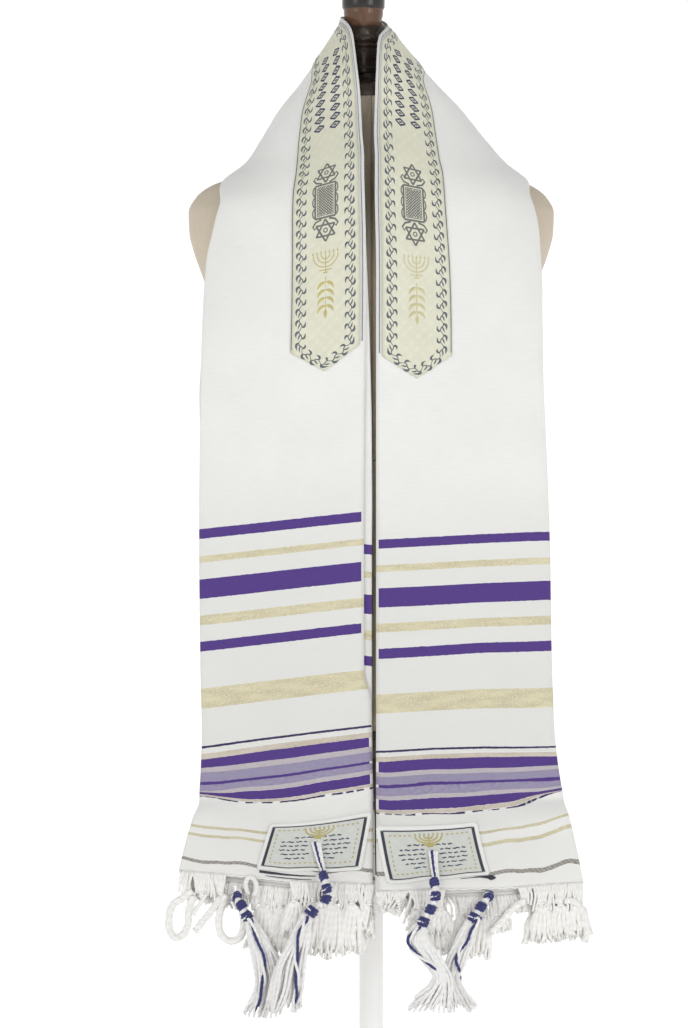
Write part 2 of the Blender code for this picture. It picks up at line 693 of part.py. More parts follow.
def make_tassel(tassel, half, material, collection, cutters):
    """A knotted cord with its loose strands fused into the last knot."""
    facing = 1 if tassel.layer == 0 else -1
    centres = []
    radii = []
    for perch in tassel.perches:
        row = half.row_at(perch.up)
        stacked = WALL / 2 + SEAM + (TRIM_THICK + SEAM if tassel.layer == 0 else 0)
        lift = (stacked + perch.radius) * facing
        centres.append(half.on_layer(tassel.layer, row, half.column_at(perch.across, row), lift))
        radii.append(perch.radius)
    for knot in tassel.knots:
        centres.append(Vector((knot.x, knot.depth, REACH - knot.drop)))
        radii.append(knot.radius)
    rings = tube_rings(centres, radii, CORD_SIDES)
    cord = add_rings(tassel.name, rings, material, collection)
    ring_radius = tassel.knots[-1].radius - STRAND_INSET * STRAND_RADIUS
    ends = [Spread(*knot[:3], ring_radius, ring_radius) for knot in tassel.knots[-2:]]
    ends += tassel.spreads
    for k in range(STRANDS):
        angle = 2 * math.pi * (k + 0.5) / STRANDS
        path = [Vector((e.x + e.half_x * math.cos(angle), e.depth + e.half_y * math.sin(angle),
                        REACH - e.drop)) for e in ends]
        path[-1].z += DROP_SHIFT * jitter(len(tassel.name), k)
        strand = add_rings(f"{tassel.name}_strand_{k}",
                           tube_rings(path, [STRAND_RADIUS] * len(path), STRAND_SIDES),
                           material, cutters)
        strand.hide_render = True
        strand.display_type = "WIRE"
        join = cord.modifiers.new(f"Strand {k}", "BOOLEAN")
        join.operation = "UNION"
        join.object = strand
    return cord


# ---------------------------------------------------------------- the dress form and stand
def make_torso(material, collection):
    """The linen-covered torso, a loft through ovals with squared corners."""
    rings = []
    for row in TORSO:
        ring = []
        for k in range(TORSO_SIDES):
            angle = 2 * math.pi * k / TORSO_SIDES
            c = math.cos(angle)
            s = math.sin(angle)
            across = math.copysign(abs(c) ** (2 / TORSO_SQUARE), c) * row.half
            reach = row.back if s > 0 else row.front
            depth = math.copysign(abs(s) ** (2 / TORSO_SQUARE), s) * reach
            ring.append(Vector((across, depth, REACH - row.drop)))
        rings.append(ring)
    return add_rings("form_torso", rings, material, collection)


def make_form(colours, collection):
    make_torso(colours["linen"], collection)
    cap_foot = REACH - TORSO[0].drop + SEAM
    add_turned("form_neck_cap", NECK_CAP, NECK_CAP_X, cap_foot, colours["dark wood"], collection)
    finial_foot = cap_foot + NECK_CAP[-1].height + SEAM
    add_turned("form_finial", FINIAL, FINIAL_X, finial_foot, colours["dark wood"], collection)
    spigot_foot = REACH - TORSO[-1].drop - SEAM - SPIGOT[-1].height
    add_turned("form_spigot", SPIGOT, 0, spigot_foot, colours["dark wood"], collection)
    pole = [Turning(POLE_RADIUS, 0), Turning(POLE_RADIUS, spigot_foot - BASE_HEIGHT - 2 * SEAM)]
    add_turned("stand_pole", pole, 0, BASE_HEIGHT + SEAM, colours["white steel"], collection)
    base = [Turning(BASE_RADIUS - 2, 0), Turning(BASE_RADIUS, 2),
            Turning(BASE_RADIUS, BASE_HEIGHT - 4), Turning(BASE_RADIUS - 4, BASE_HEIGHT - 1),
            Turning(BASE_RADIUS - 12, BASE_HEIGHT)]
    add_turned("stand_base", base, 0, 0, colours["white steel"], collection)


def main():
    clear_scene()
    collection = new_collection("Tallit on dress form")
    cutters = new_collection("Cutters")
    colours = {
        "shawl white": finish_colour("Shawl white", (0.86, 0.86, 0.84), 0.85),
        "brocade": finish_colour("Brocade cream", (0.72, 0.72, 0.56), 0.6),
        "cord white": finish_colour("Cord white", (0.85, 0.84, 0.82), 0.8),
        "linen": finish_colour("Linen", (0.60, 0.52, 0.42), 0.9),
        "dark wood": finish_colour("Dark wood", (0.06, 0.035, 0.025), 0.3),
        "white steel": finish_colour("White enamel", (0.85, 0.85, 0.84), 0.35),
    }
    halves = {side: ClothHalf(side) for side in (LEFT, RIGHT)}
    make_cloth(halves, colours["shawl white"], collection)
    make_neckband(halves, colours["brocade"], collection)
    for side, word in ((LEFT, "left"), (RIGHT, "right")):
        for layer, place in ((0, "front"), (2, "back")):
            make_patch(f"corner_patch_{word}_{place}", halves[side], layer,
                       colours["brocade"], collection)
            make_fringe(f"fringe_{word}_{place}", halves[side], layer, 2 * side + layer,
                        PARTINGS[side, layer], colours["cord white"], collection)
    for tassel in TASSELS:
        make_tassel(tassel, halves[tassel.side], colours["cord white"], collection, cutters)
    make_form(colours, collection)


main()
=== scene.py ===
# %% [markdown]
# # Tallit prayer shawl on a dress form
# A tallit is one long woven shawl with stripes and a knotted fringe at both ends. Worn like
# a stole it is folded lengthwise, here into three layers, and laid round the neck. A brocade
# neckband lies on its inner edge, a brocade patch lies on each corner, and a tied tassel
# hangs from each patch. The frame already holds the plain solids at their real size, so
# every piece below is laid where its solid is, and gets its finer form and its looks.

import json
import math
from collections import namedtuple

import bpy
import numpy as np
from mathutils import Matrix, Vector

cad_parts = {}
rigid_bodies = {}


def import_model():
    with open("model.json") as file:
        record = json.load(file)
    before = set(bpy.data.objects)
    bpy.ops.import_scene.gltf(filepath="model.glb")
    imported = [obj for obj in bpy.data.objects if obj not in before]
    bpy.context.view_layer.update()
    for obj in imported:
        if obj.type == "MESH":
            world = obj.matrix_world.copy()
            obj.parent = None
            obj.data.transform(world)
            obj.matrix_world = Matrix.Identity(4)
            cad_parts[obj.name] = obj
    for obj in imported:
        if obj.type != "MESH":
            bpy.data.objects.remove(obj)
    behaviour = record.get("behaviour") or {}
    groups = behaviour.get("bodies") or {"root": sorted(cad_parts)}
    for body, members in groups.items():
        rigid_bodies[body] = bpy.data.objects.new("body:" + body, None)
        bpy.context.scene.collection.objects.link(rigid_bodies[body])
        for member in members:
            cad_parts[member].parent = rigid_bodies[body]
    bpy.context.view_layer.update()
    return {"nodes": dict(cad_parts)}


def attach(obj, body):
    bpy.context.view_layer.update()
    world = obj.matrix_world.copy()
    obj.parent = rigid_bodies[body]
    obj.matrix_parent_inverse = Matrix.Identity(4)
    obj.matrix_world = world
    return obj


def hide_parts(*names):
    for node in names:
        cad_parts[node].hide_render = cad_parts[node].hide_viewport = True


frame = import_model()
print("nodes in the frame:", len(frame["nodes"]))

# %% [markdown]
# The camera comes first, because it says which side will be looked at most. A long lens a
# few metres away keeps the two ends of the shawl straight and upright, so it could also be
# an orthographic camera, but a little perspective looks more natural.

# %% Camera
MM = 0.001
FILM = 36.0
DISTANCE = 4.0
VIEW_HEIGHT = 1.028
VIEW_X, PANEL_Y, VIEW_Z = -0.028, -0.118, 0.686
lens = bpy.data.cameras.new("front_view")
lens.sensor_width = FILM
lens.lens = FILM * DISTANCE / VIEW_HEIGHT
camera = bpy.data.objects.new("front_view", lens)
camera.location = (VIEW_X, PANEL_Y - DISTANCE, VIEW_Z)
camera.rotation_euler = (math.radians(90), 0, 0)
bpy.context.scene.collection.objects.link(camera)
bpy.context.scene.camera = camera
print("lens length in millimetres:", round(lens.lens, 1))

# %% [markdown]
# White cloth on white needs light that is soft but not even from every side, or its folds
# vanish. A studio uses two big soft boxes in front and a bright white distance behind. Here
# the soft boxes are area lights, and the air itself is bright behind the shawl and along the
# horizon and dimmer elsewhere, so nothing has to stand behind the shawl and it can be looked
# at from every side.

# %% Soft boxes
def add_light(name, place, aim, size, watts):
    lamp = bpy.data.lights.new(name, "AREA")
    lamp.shape = "RECTANGLE"
    lamp.size = size[0]
    lamp.size_y = size[1]
    lamp.energy = watts
    holder = bpy.data.objects.new(name, lamp)
    holder.location = place
    holder.rotation_euler = (Vector(aim) - Vector(place)).to_track_quat("-Z", "Y").to_euler()
    bpy.context.scene.collection.objects.link(holder)


add_light("soft_box_left", (-2.6, -2.6, 2.4), (0, 0, 0.75), (1.4, 2.0), 34)
add_light("soft_box_right", (2.4, -3.0, 1.6), (0, 0, 0.7), (1.6, 2.0), 38)
print("lights:", sum(1 for thing in bpy.data.objects if thing.type == "LIGHT"))

# %% Studio air
def make_air(dim, bright):
    """Air that brightens towards the far side and down towards the horizon."""
    world = bpy.data.worlds.new("studio_air")
    world.use_nodes = True
    tree = world.node_tree
    glow = tree.nodes["Background"]
    glow.inputs["Color"].default_value = (1.0, 1.0, 1.0, 1)
    towards = tree.nodes.new("ShaderNodeTexCoord")
    parts = tree.nodes.new("ShaderNodeSeparateXYZ")
    tree.links.new(towards.outputs["Generated"], parts.inputs[0])
    shares = []
    for axis, start, end in (("Y", 0.1, 0.85), ("Z", 0.22, 0.13)):
        share = tree.nodes.new("ShaderNodeMapRange")
        share.interpolation_type = "SMOOTHSTEP"
        for name, value in (("From Min", start), ("From Max", end), ("To Min", dim),
                            ("To Max", bright)):
            share.inputs[name].default_value = value
        tree.links.new(parts.outputs[axis], share.inputs["Value"])
        shares.append(share.outputs["Result"])
    brighter = tree.nodes.new("ShaderNodeMath")
    brighter.operation = "MAXIMUM"
    for i, share in enumerate(shares):
        tree.links.new(share, brighter.inputs[i])
    tree.links.new(brighter.outputs[0], glow.inputs["Strength"])
    bpy.context.scene.world = world


make_air(dim=0.36, bright=1.1)
bpy.context.scene.view_settings.view_transform = "Standard"
bpy.context.scene.view_settings.look = "None"
print("the air has", len(bpy.context.scene.world.node_tree.nodes), "nodes")

# %% [markdown]
# A finish is a small net of nodes. Writing it as arithmetic reads better than wiring it by
# hand, so a Wire stands for one output of a node, and adding or multiplying Wires adds the
# Math nodes. Any other node comes from one method, which takes its type, its settings and
# what goes into its sockets.

# %% Wires
class Wire:
    """One output of a node. Arithmetic on it adds Math nodes to the same finish."""

    def __init__(self, finish, socket):
        self.finish = finish
        self.socket = socket

    def math(self, operation, *others):
        values = dict(enumerate((self,) + others))
        return self.finish.node("ShaderNodeMath", {"operation": operation}, values)

    def __add__(self, other):
        return self.math("ADD", other)

    def __mul__(self, other):
        return self.math("MULTIPLY", other)

    __radd__ = __add__
    __rmul__ = __mul__

    def __sub__(self, other):
        return self.math("SUBTRACT", other)

    def __rsub__(self, other):
        return self.math("MULTIPLY", -1.0).math("ADD", other)

    def __truediv__(self, other):
        return self.math("DIVIDE", other)

    def __gt__(self, other):
        return self.math("GREATER_THAN", other)

    def __lt__(self, other):
        return self.math("LESS_THAN", other)

    def near(self, centre, reach):
        """1 within reach of centre, else 0."""
        return self.math("COMPARE", centre, reach)

    def wave(self, length):
        """A sine between -1 and 1 that repeats every length."""
        return (self * (2 * math.pi / length)).math("SINE")

    def most(self, other):
        return self.math("MAXIMUM", other)

    def clear(self):
        """Held between 0 and 1."""
        return self.math("MINIMUM", 1.0).math("MAXIMUM", 0.0)


print("a Wire can", ", ".join(name for name in vars(Wire) if not name.startswith("_")))

# %% [markdown]
# Every finish of this shawl and its form starts from the same Principled shader. The class
# below makes one, tells where a point lies on the flat cloth or in the room, mixes colours
# and adds noise, and wires the results to the sockets in the end.

# %% Finishes
class Finish:
    """A material in the making, with its Principled shader."""

    def __init__(self, name, roughness, **constants):
        self.material = bpy.data.materials.new(name)
        self.material.use_nodes = True
        self.tree = self.material.node_tree
        self.shader = self.tree.nodes["Principled BSDF"]
        self.shader.inputs["Roughness"].default_value = roughness
        for socket, value in constants.items():
            self.shader.inputs[socket.replace("_", " ")].default_value = value

    def node(self, kind, settings, values, output=0):
        node = self.tree.nodes.new(kind)
        for name, setting in settings.items():
            setattr(node, name, setting)
        for name, value in values.items():
            socket = node.inputs[name]
            if isinstance(value, Wire):
                self.tree.links.new(value.socket, socket)
            else:
                socket.default_value = value
        return Wire(self, node.outputs[output])

    def flat_place(self):
        """Where a point lies on the flat piece, as two Wires in millimetres."""
        uv = self.node("ShaderNodeUVMap", {"uv_map": "flat"}, {})
        across = self.node("ShaderNodeSeparateXYZ", {}, {0: uv}, 0)
        along = self.node("ShaderNodeSeparateXYZ", {}, {0: uv}, 1)
        return across / MM, along / MM

    def room_place(self):
        """Where a point lies in the room, as three Wires in millimetres."""
        room = self.node("ShaderNodeTexCoord", {}, {}, "Object")
        parts = [self.node("ShaderNodeSeparateXYZ", {}, {0: room}, i) for i in range(3)]
        return [part / MM for part in parts]

    def noise(self, x, y, z=0.0, detail=2.0):
        """Soft unevenness between 0 and 1, with one lump to each unit of x, y and z."""
        place = self.node("ShaderNodeCombineXYZ", {}, {0: x, 1: y, 2: z})
        return self.node("ShaderNodeTexNoise", {}, {"Vector": place, "Scale": 1.0,
                                                    "Detail": detail}, "Fac")

    def mix(self, share, first, second):
        """From the first colour at 0 to the second at 1."""
        values = {0: share}
        for socket, colour in ((6, first), (7, second)):
            values[socket] = colour if isinstance(colour, Wire) else (*colour, 1.0)
        return self.node("ShaderNodeMix", {"data_type": "RGBA"}, values, 2)

    def done(self, colour, height=None, depth=0.1, roughness=None, metallic=None):
        """Wires the shader up. The height is in shares of a depth in millimetres."""
        links = [("Base Color", colour), ("Roughness", roughness), ("Metallic", metallic)]
        if height is not None:
            bump = self.node("ShaderNodeBump", {}, {"Strength": 1.0, "Distance": depth * MM,
                                                    "Height": height})
            links.append(("Normal", bump))
        for name, wire in links:
            if wire is not None:
                self.tree.links.new(wire.socket, self.shader.inputs[name])
        return self.material


print("a Finish can", ", ".join(name for name in vars(Finish) if not name.startswith("_")))

# %% Colours
def shade(red, green, blue):
    """A colour as a dye chart gives it, from 0 to 255, for the shader."""
    parts = [part / 255 for part in (red, green, blue)]
    return tuple(p / 12.92 if p <= 0.04045 else ((p + 0.055) / 1.055) ** 2.4 for p in parts)


print("white cloth is", [round(part, 2) for part in shade(240, 240, 237)])

# %% [markdown]
# The floor is not part of the shawl. It is one wide sheet of pale paper. Near the stand it is
# plain paper, so the base and its shadow show, and farther off it glows softly, so that it
# and the air meet without a line.

# %% Floor
FLOOR_EDGES = (-600.0, 600.0)
PLAIN_REACH = 750.0
FADE = 500.0


def make_floor():
    points = [(x, y, 0.0) for y in FLOOR_EDGES for x in FLOOR_EDGES]
    mesh = bpy.data.meshes.new("floor")
    mesh.from_pydata(points, [], [(0, 1, 3, 2)])
    paper = Finish("floor_paper", 0.9, Emission_Strength=0.6)
    x, y, _ = paper.room_place()
    grain = paper.noise(x / 9, y / 9)
    far = ((x * x + y * y).math("SQRT") / FADE - PLAIN_REACH / FADE).clear()
    far = far * far * (3.0 - 2.0 * far)
    paper.tree.links.new(paper.mix(far, (0.33, 0.33, 0.33), (1, 1, 1)).socket,
                         paper.shader.inputs["Emission Color"])
    mesh.materials.append(paper.done(paper.mix(grain, (0.88, 0.88, 0.88), (0.92, 0.92, 0.92))))
    floor = bpy.data.objects.new("floor", mesh)
    bpy.context.scene.collection.objects.link(floor)


make_floor()
print("floor is ready")

# %% [markdown]
# Every piece of the shawl lies on one surface: the drape. It is an oval round the neck and
# body at each height, small at the neck and almost flat below the chest. Tables of a few
# heights with a smooth curve between them give it. From the shoulders down they are the
# solids' own tables, so cloth and frame agree, and round the neck the collar is drawn in by
# up to 4 mm, so that it hugs the wood. A scan or a cloth simulation could give such a
# surface too, but a table keeps the stripes level and the edges where they should be.

# %% The drape's sizes
LEFT = -1
RIGHT = 1
SIDES = ((LEFT, "left"), (RIGHT, "right"))
# Every drop is measured down from this height above the floor.
REACH = 1200.0
Level = namedtuple("Level", "drop centre left right front back")


def each(kind, *values):
    """A table whose rows all have the same named columns."""
    return [kind(*value) for value in values]


DRAPE = each(Level, (-2, -8, 23, 22.5, 28, 33), (10, -7.5, 24.5, 24, 32, 36.5),
             (22, -7, 32, 31.5, 38, 42), (46, -6, 49, 50, 49, 51), (72, -5, 68, 72, 58, 60),
             (98, -4, 90, 96, 64, 62), (129, -2, 111, 119, 76, 71), (154, 0, 130, 139, 88, 78),
             (175, 0, 161, 169, 96, 85), (198, 0, 191, 193, 103, 92),
             (240, 0, 208, 212, 112, 100), (290, 0, 235, 240, 117, 104),
             (340, 0, 268, 270, 119, 104), (403, 0, 305, 305, 119, 104),
             (529, 0, 350, 350, 119, 104), (688, 0, 395, 395, 119, 104),
             (770, 0, 415, 415, 119, 104), (800, 0, 420, 420, 123, 104),
             (830, 0, 420, 420, 136, 104), (860, 0, 420, 420, 152, 104),
             (900, 0, 420, 420, 174, 104))
Wave = namedtuple("Wave", "drop depth")
WAVES = each(Wave, (0, 0), (560, 0), (700, 1.0), (800, 2.4), (900, 3.4))
WAVE_LENGTH = 118.0
WAVE_START = {LEFT: 0.9, RIGHT: 2.6}
print("levels of the drape:", len(DRAPE))

# %% [markdown]
# Straight lines between the heights would leave a crease at each, and a common spline
# swings past its points and would bulge between them. This curve is a cubic whose slopes
# are held back where the table turns, so it never leaves the range of its neighbours.

# %% A smooth curve through a table
def column(rows, name):
    return np.array([getattr(row, name) for row in rows], dtype=float)


def smooth_curve(knots, values):
    """A function through the given values that never swings past them."""
    knots = np.asarray(knots, dtype=float)
    values = np.asarray(values, dtype=float)
    gaps = np.diff(knots)
    slopes = np.diff(values) / gaps
    tangents = np.zeros_like(values)
    tangents[0] = slopes[0]
    tangents[-1] = slopes[-1]
    for i in range(1, len(values) - 1):
        if slopes[i - 1] * slopes[i] > 0:
            before = 2 * gaps[i] + gaps[i - 1]
            after = gaps[i] + 2 * gaps[i - 1]
            tangents[i] = (before + after) / (before / slopes[i - 1] + after / slopes[i])

    def value_at(x):
        i = np.clip(np.searchsorted(knots, x) - 1, 0, len(gaps) - 1)
        t = (x - knots[i]) / gaps[i]
        rise = values[i + 1] - values[i]
        start = tangents[i] * gaps[i]
        end = tangents[i + 1] * gaps[i]
        return (values[i] + t * start + t * t * (3 * rise - 2 * start - end)
                + t * t * t * (start + end - 2 * rise))

    return value_at


LEVEL = {name: smooth_curve(column(DRAPE, "drop"), column(DRAPE, name))
         for name in ("centre", "left", "right", "front", "back")}
WAVE_DEPTH = smooth_curve(column(WAVES, "drop"), column(WAVES, "depth"))
print("half width at the chest:", round(float(LEVEL["left"](300.0)), 1))

# %% [markdown]
# Cloth is never as smooth as a table. Long soft folds run down the panels, short creases
# fan out over the shoulders, and the heavy hem pulls a little tuck at each outer fold. They
# are sums of sines: each has its height in millimetres and a soft limit on where it shows.
# They move the drape itself, so all three layers and everything sewn to them move together
# and never cut each other.

# %% Folds
FOLD_START = {LEFT: 0.0, RIGHT: 2.1}
TUCK_DROP = 799.0


def bell(x, middle, reach):
    return np.exp(-((x - middle) / reach) ** 2)


def step_up(x, low, high):
    t = np.clip((x - low) / (high - low), 0, 1)
    return t * t * (3 - 2 * t)


def folds(side, across, drop, turn):
    """How far the drape is pushed out, in millimetres, by what the tables leave out."""
    phase = FOLD_START[side]
    front = step_up(turn, 100, 135)
    long_folds = 0.9 * np.sin(across / 21 + drop / 170 + phase) * step_up(drop, 330, 620)
    long_folds += 0.5 * np.sin(across / 9.5 - drop / 90 + phase) * step_up(drop, 640, 840)
    fan = 1.3 * np.sin((across * side + 0.9 * drop) / 15 + phase) * bell(drop, 205, 75)
    fan *= step_up(np.abs(across), 85, 125)
    pull = 0.5 * np.sin((drop - 0.35 * across * side) / 13 + phase) * bell(drop, 470, 170)
    tuck = -4.0 * bell(drop, TUCK_DROP, 6) * step_up(np.abs(across), 120, 175)
    below = 2.2 * bell(drop, TUCK_DROP + 16, 11) * step_up(np.abs(across), 95, 165)
    return front * (long_folds + fan + pull + tuck + below)


print("a fold's push at the chest:", round(float(folds(LEFT, -90.0, 400.0, 150.0)), 2))

# %% The drape itself
def drape(side, turn, drop):
    """Points of the surface that the shawl's front layer lies along, in millimetres."""
    angle = np.radians(turn)
    across = side * LEVEL["left" if side == LEFT else "right"](drop) * np.sin(angle)
    reach = np.where(turn < 90, LEVEL["back"](drop), LEVEL["front"](drop))
    wave = WAVE_DEPTH(drop) * np.cos(2 * math.pi * across / WAVE_LENGTH + WAVE_START[side])
    depth = reach * np.cos(angle) + wave - folds(side, across, drop, turn)
    return np.stack([LEVEL["centre"](drop) + across, depth, REACH - drop], axis=-1)


def drape_normal(side, turn, drop):
    round_neck = drape(side, turn + 0.5, drop) - drape(side, turn - 0.5, drop)
    downward = drape(side, turn, drop + 0.5) - drape(side, turn, drop - 0.5)
    outward = np.cross(round_neck, downward) * side
    return outward / np.linalg.norm(outward, axis=-1, keepdims=True)


def turn_at(side, x, drop):
    """The turn round the neck of a place on the front, given by its x."""
    half = LEVEL["left" if side == LEFT else "right"](drop)
    share = (x - LEVEL["centre"](drop)) * side / half
    return 180.0 - np.degrees(np.arcsin(np.clip(share, -1, 1)))


print("a point at the chest:", np.round(drape(LEFT, np.array(170.0), np.array(400.0)), 1))

# %% [markdown]
# The shawl itself is described by its two long edges: where its inner edge and its outer
# fold run, from the hem up to the middle of the back. The stripes of the hidden layers show
# past the front edge a little lower down, because cloth that is folded on a slant comes
# back lower, which is what slant and tuck are for.

# %% The shawl's edges
Section = namedtuple("Section", "inner_x inner_drop outer_x outer_drop slant tuck pitch")
PANEL = {
    LEFT: each(Section, (-3, 880, -190, 868, 2, 3, 4.2), (-4, 850, -184, 842, 4, 4, 3.8),
               (-5, 820, -177, 818, 8, 5, 3.4), (-6, 788, -171, 799, 12, 6, 3.0),
               (-8, 727, -169, 746, 17, 6.5, 2.5), (-8, 671, -170, 688, 17, 6.5, 2.4),
               (-8, 511, -172, 529, 17, 6.5, 2.4), (-7, 385, -171, 403, 17, 5, 2.4),
               (-6, 310, -170, 335, 10, 2, 2.4), (-6, 250, -168, 284, 4, -1, 2.4),
               (-7, 199, -163, 240, 0, -3, 2.4), (-8, 147, -153, 200, 0, -3, 2.4)),
    RIGHT: each(Section, (5, 886, 208, 880, 2, -3, 4.2), (4, 856, 202, 846, 1, -3, 3.8),
                (4, 828, 196, 818, 0, -3, 3.4), (4, 798, 190, 796, -3, -3, 3.0),
                (4, 752, 183, 746, -6, -3, 2.5), (4, 695, 180, 688, -8, -3, 2.4),
                (4, 540, 177, 532, -8, -3, 2.4), (4, 405, 172, 400, -6, -3, 2.4),
                (4, 318, 171, 322, 0, -3, 2.4), (4, 252, 171, 272, 0, -3, 2.4),
                (3, 199, 169, 231, 0, -3, 2.4), (3, 147, 161, 192, 0, -3, 2.4)),
}
# Round the neck both sides turn alike, but the inner edge stands higher on the left.
Turned = namedtuple("Turned", "inner_turn outer_turn outer_drop pitch")
COLLAR = each(Turned, (175.5, 106, 172, 2.4), (170, 91, 157, 2.2), (156, 76, 157, 1.8),
              (125, 58, 163, 1.5), (85, 38, 169, 1.5), (45, 19, 174, 1.5), (0, 0, 176, 1.5))
COLLAR_DROPS = {LEFT: [96, 54, 21, 8, 2, -1, -2], RIGHT: [96, 58, 27, 16, 9, 2, -2]}
LEAST_TUCK = -3.0
FRONT_TUCK = 1.15
FRONT_TUCK_END = (170.0, 205.0)
FREE_EDGE = 6.0
# How far the stripes hang in a shallow swag between the edges, by height above the hem.
SAG_HEIGHTS = [0, 40, 60, 92, 125, 150, 980]
SAG = {LEFT: smooth_curve(SAG_HEIGHTS, [1, 4, 6, 8, 3, 0, 0]),
       RIGHT: smooth_curve(SAG_HEIGHTS, [1, 8, 10, 9, 4, 0, 0])}
print("sections from hem to chest:", len(PANEL[LEFT]))

# %% [markdown]
# One end of the shawl is the strip of the drape between its two edges. A place on it is
# given by its layer, its way across from the inner edge and its height above the hem, in
# millimetres of cloth. Whatever is sewn on uses the same call, so nothing floats or sinks.
# Equal turns round the neck are not equal widths of cloth, so a table of shares sets that
# right.

# %% Distances along a path
def distances(path):
    """How far along a path each of its points is."""
    steps = np.linalg.norm(np.diff(path, axis=0), axis=1)
    return np.concatenate([[0.0], np.cumsum(steps)])


print("round a square of 10 mm:", distances(10 * np.array([(0, 0), (1, 0), (1, 1), (0, 1)])))

# %% One half of the folded shawl
class Half:
    """One end of the shawl, from its hem to the middle of the back."""

    names = ("inner_turn", "inner_drop", "outer_turn", "outer_drop", "slant", "tuck", "pitch")

    def __init__(self, side):
        self.side = side
        edges = [(turn_at(side, row.inner_x, row.inner_drop), row.inner_drop,
                  turn_at(side, row.outer_x, row.outer_drop), row.outer_drop,
                  row.slant, row.tuck, row.pitch) for row in PANEL[side]]
        edges += [(row.inner_turn, drop, row.outer_turn, row.outer_drop, 0.0, LEAST_TUCK, row.pitch)
                  for row, drop in zip(COLLAR, COLLAR_DROPS[side])]
        edges = np.array(edges, dtype=float)
        inner = drape(side, edges[:, 0], edges[:, 1])
        outer = drape(side, edges[:, 2], edges[:, 3])
        runs = (distances(inner) + distances(outer)) / 2
        self.length = runs[-1]
        self.track = {name: smooth_curve(runs, edges[:, i]) for i, name in enumerate(self.names)}
        self.measure()

    def measure(self, rows=260, columns=25):
        """Fills the tables of widths and of shares of the turn."""
        self.ups = np.linspace(0, self.length, rows)
        shares = np.linspace(0, 1, columns)
        flat = [self.track[name](self.ups)[:, None] for name in self.names[:4]]
        points = drape(self.side, flat[0] + (flat[2] - flat[0]) * shares,
                       flat[1] + (flat[3] - flat[1]) * shares)
        gaps = np.linalg.norm(np.diff(points, axis=1), axis=2)
        lengths = np.concatenate([np.zeros((len(self.ups), 1)), np.cumsum(gaps, axis=1)], axis=1)
        self.widths = lengths[:, -1]
        self.shares = np.array([np.interp(shares * row[-1], row, shares) for row in lengths])

    def width(self, up):
        return np.interp(up, self.ups, self.widths)

    def share_at(self, up, part):
        """The share of the turn for a part of the width, from the table of shares."""
        row = np.clip(up / self.length, 0, 1) * (len(self.ups) - 1)
        spot = np.clip(part, 0, 1) * (self.shares.shape[1] - 1)
        i = np.minimum(row.astype(int), len(self.ups) - 2)
        j = np.minimum(spot.astype(int), self.shares.shape[1] - 2)
        s = row - i
        t = spot - j
        table = self.shares
        share = ((1 - s) * ((1 - t) * table[i, j] + t * table[i, j + 1])
                 + s * ((1 - t) * table[i + 1, j] + t * table[i + 1, j + 1]))
        return share + (part - np.clip(part, 0, 1))

    def place(self, layer, across, up, lift=0.0):
        """Points on one layer, across from its inner edge and up from the hem."""
        across, up, lift = np.broadcast_arrays(np.asarray(across, float),
                                               np.asarray(up, float), np.asarray(lift, float))
        width = self.width(up)
        share = self.share_at(up, across / width)
        at = {name: self.track[name](up) for name in self.names}
        forward = 1.0 if layer else FRONT_TUCK * (1 - step_up(up, *FRONT_TUCK_END))
        low = -np.maximum(at["tuck"] * forward, LEAST_TUCK if layer else 0.0) / width
        high = 1 - FREE_EDGE / width if layer == 2 else 1.0
        reach = low + (high - low) * share
        fall = (0.0, 2 * at["slant"] * (1 - share), 2 * at["slant"])[layer]
        swag = SAG[self.side](up) * np.sin(math.pi * np.clip(share, 0, 1))
        turn = at["inner_turn"] + (at["outer_turn"] - at["inner_turn"]) * reach
        drop = at["inner_drop"] + (at["outer_drop"] - at["inner_drop"]) * reach + fall + swag
        outward = drape_normal(self.side, turn, drop)
        depth = (lift - at["pitch"] * layer)[..., None]
        return drape(self.side, turn, drop) + outward * depth


print("a place on a half needs a layer, its way across and its height above the hem")

# %% Both halves
HALF = {side: Half(side) for side, _ in SIDES}
for side, word in SIDES:
    print(word, "half is", round(float(HALF[side].length)), "mm long and",
          round(float(HALF[side].width(400))), "mm wide when folded")

# %% [markdown]
# The stripes are woven in, so they belong to the finish and not to the shape. Each point of
# the cloth keeps its place on the flat cloth in a UV map called flat: across from the front
# edge and up from the hem, in metres. A stripe is then simply a range of heights. The two
# ends were woven alike but hang unevenly, so the right end's heights are matched to the
# left end's first.

# %% Woven stripes
# The low and the high edge of each stripe, by dye.
STRIPES = {
    "purple": [(352.5, 362.4), (292.9, 312.2), (241.1, 250.9), (126.0, 135.4), (108.2, 110.7),
               (90.8, 98.9)],
    "gold": [(328.8, 335.3), (266.9, 276.4), (184.3, 204.1), (51.7, 54.9), (41.6, 44.8)],
    "cream": [(135.4, 140.4), (88.3, 90.6)],
    "mauve": [(120.5, 126.0), (99.1, 102.6)],
    "lavender": [(110.7, 120.5), (102.6, 108.2)],
    "navy": [(145.4, 147.6), (86.5, 88.0)],
    "grey": [(11.2, 15.0)],
}
RIGHT_HEIGHTS = [0, 19.6, 55.2, 65.3, 80.7, 84.4, 94.7, 97.7, 106.0, 109.3, 117.2, 121.9,
                 133.5, 143, 182.3, 201.5, 238.6, 247.1, 264.7, 273.2, 290.3, 307.8, 324.9,
                 331.9, 348.5, 357, 967]
LEFT_HEIGHTS = [0, 13.5, 43.2, 53.3, 87.5, 90.0, 99.3, 102.6, 108.4, 110.6, 120.5, 126.0,
                135.4, 146.6, 184.3, 204.1, 242, 250, 266.9, 276.4, 293.9, 311.3, 328.8,
                335.3, 352.7, 362.2, 972]
print("stripes at each end:", sum(len(edges) for edges in STRIPES.values()))

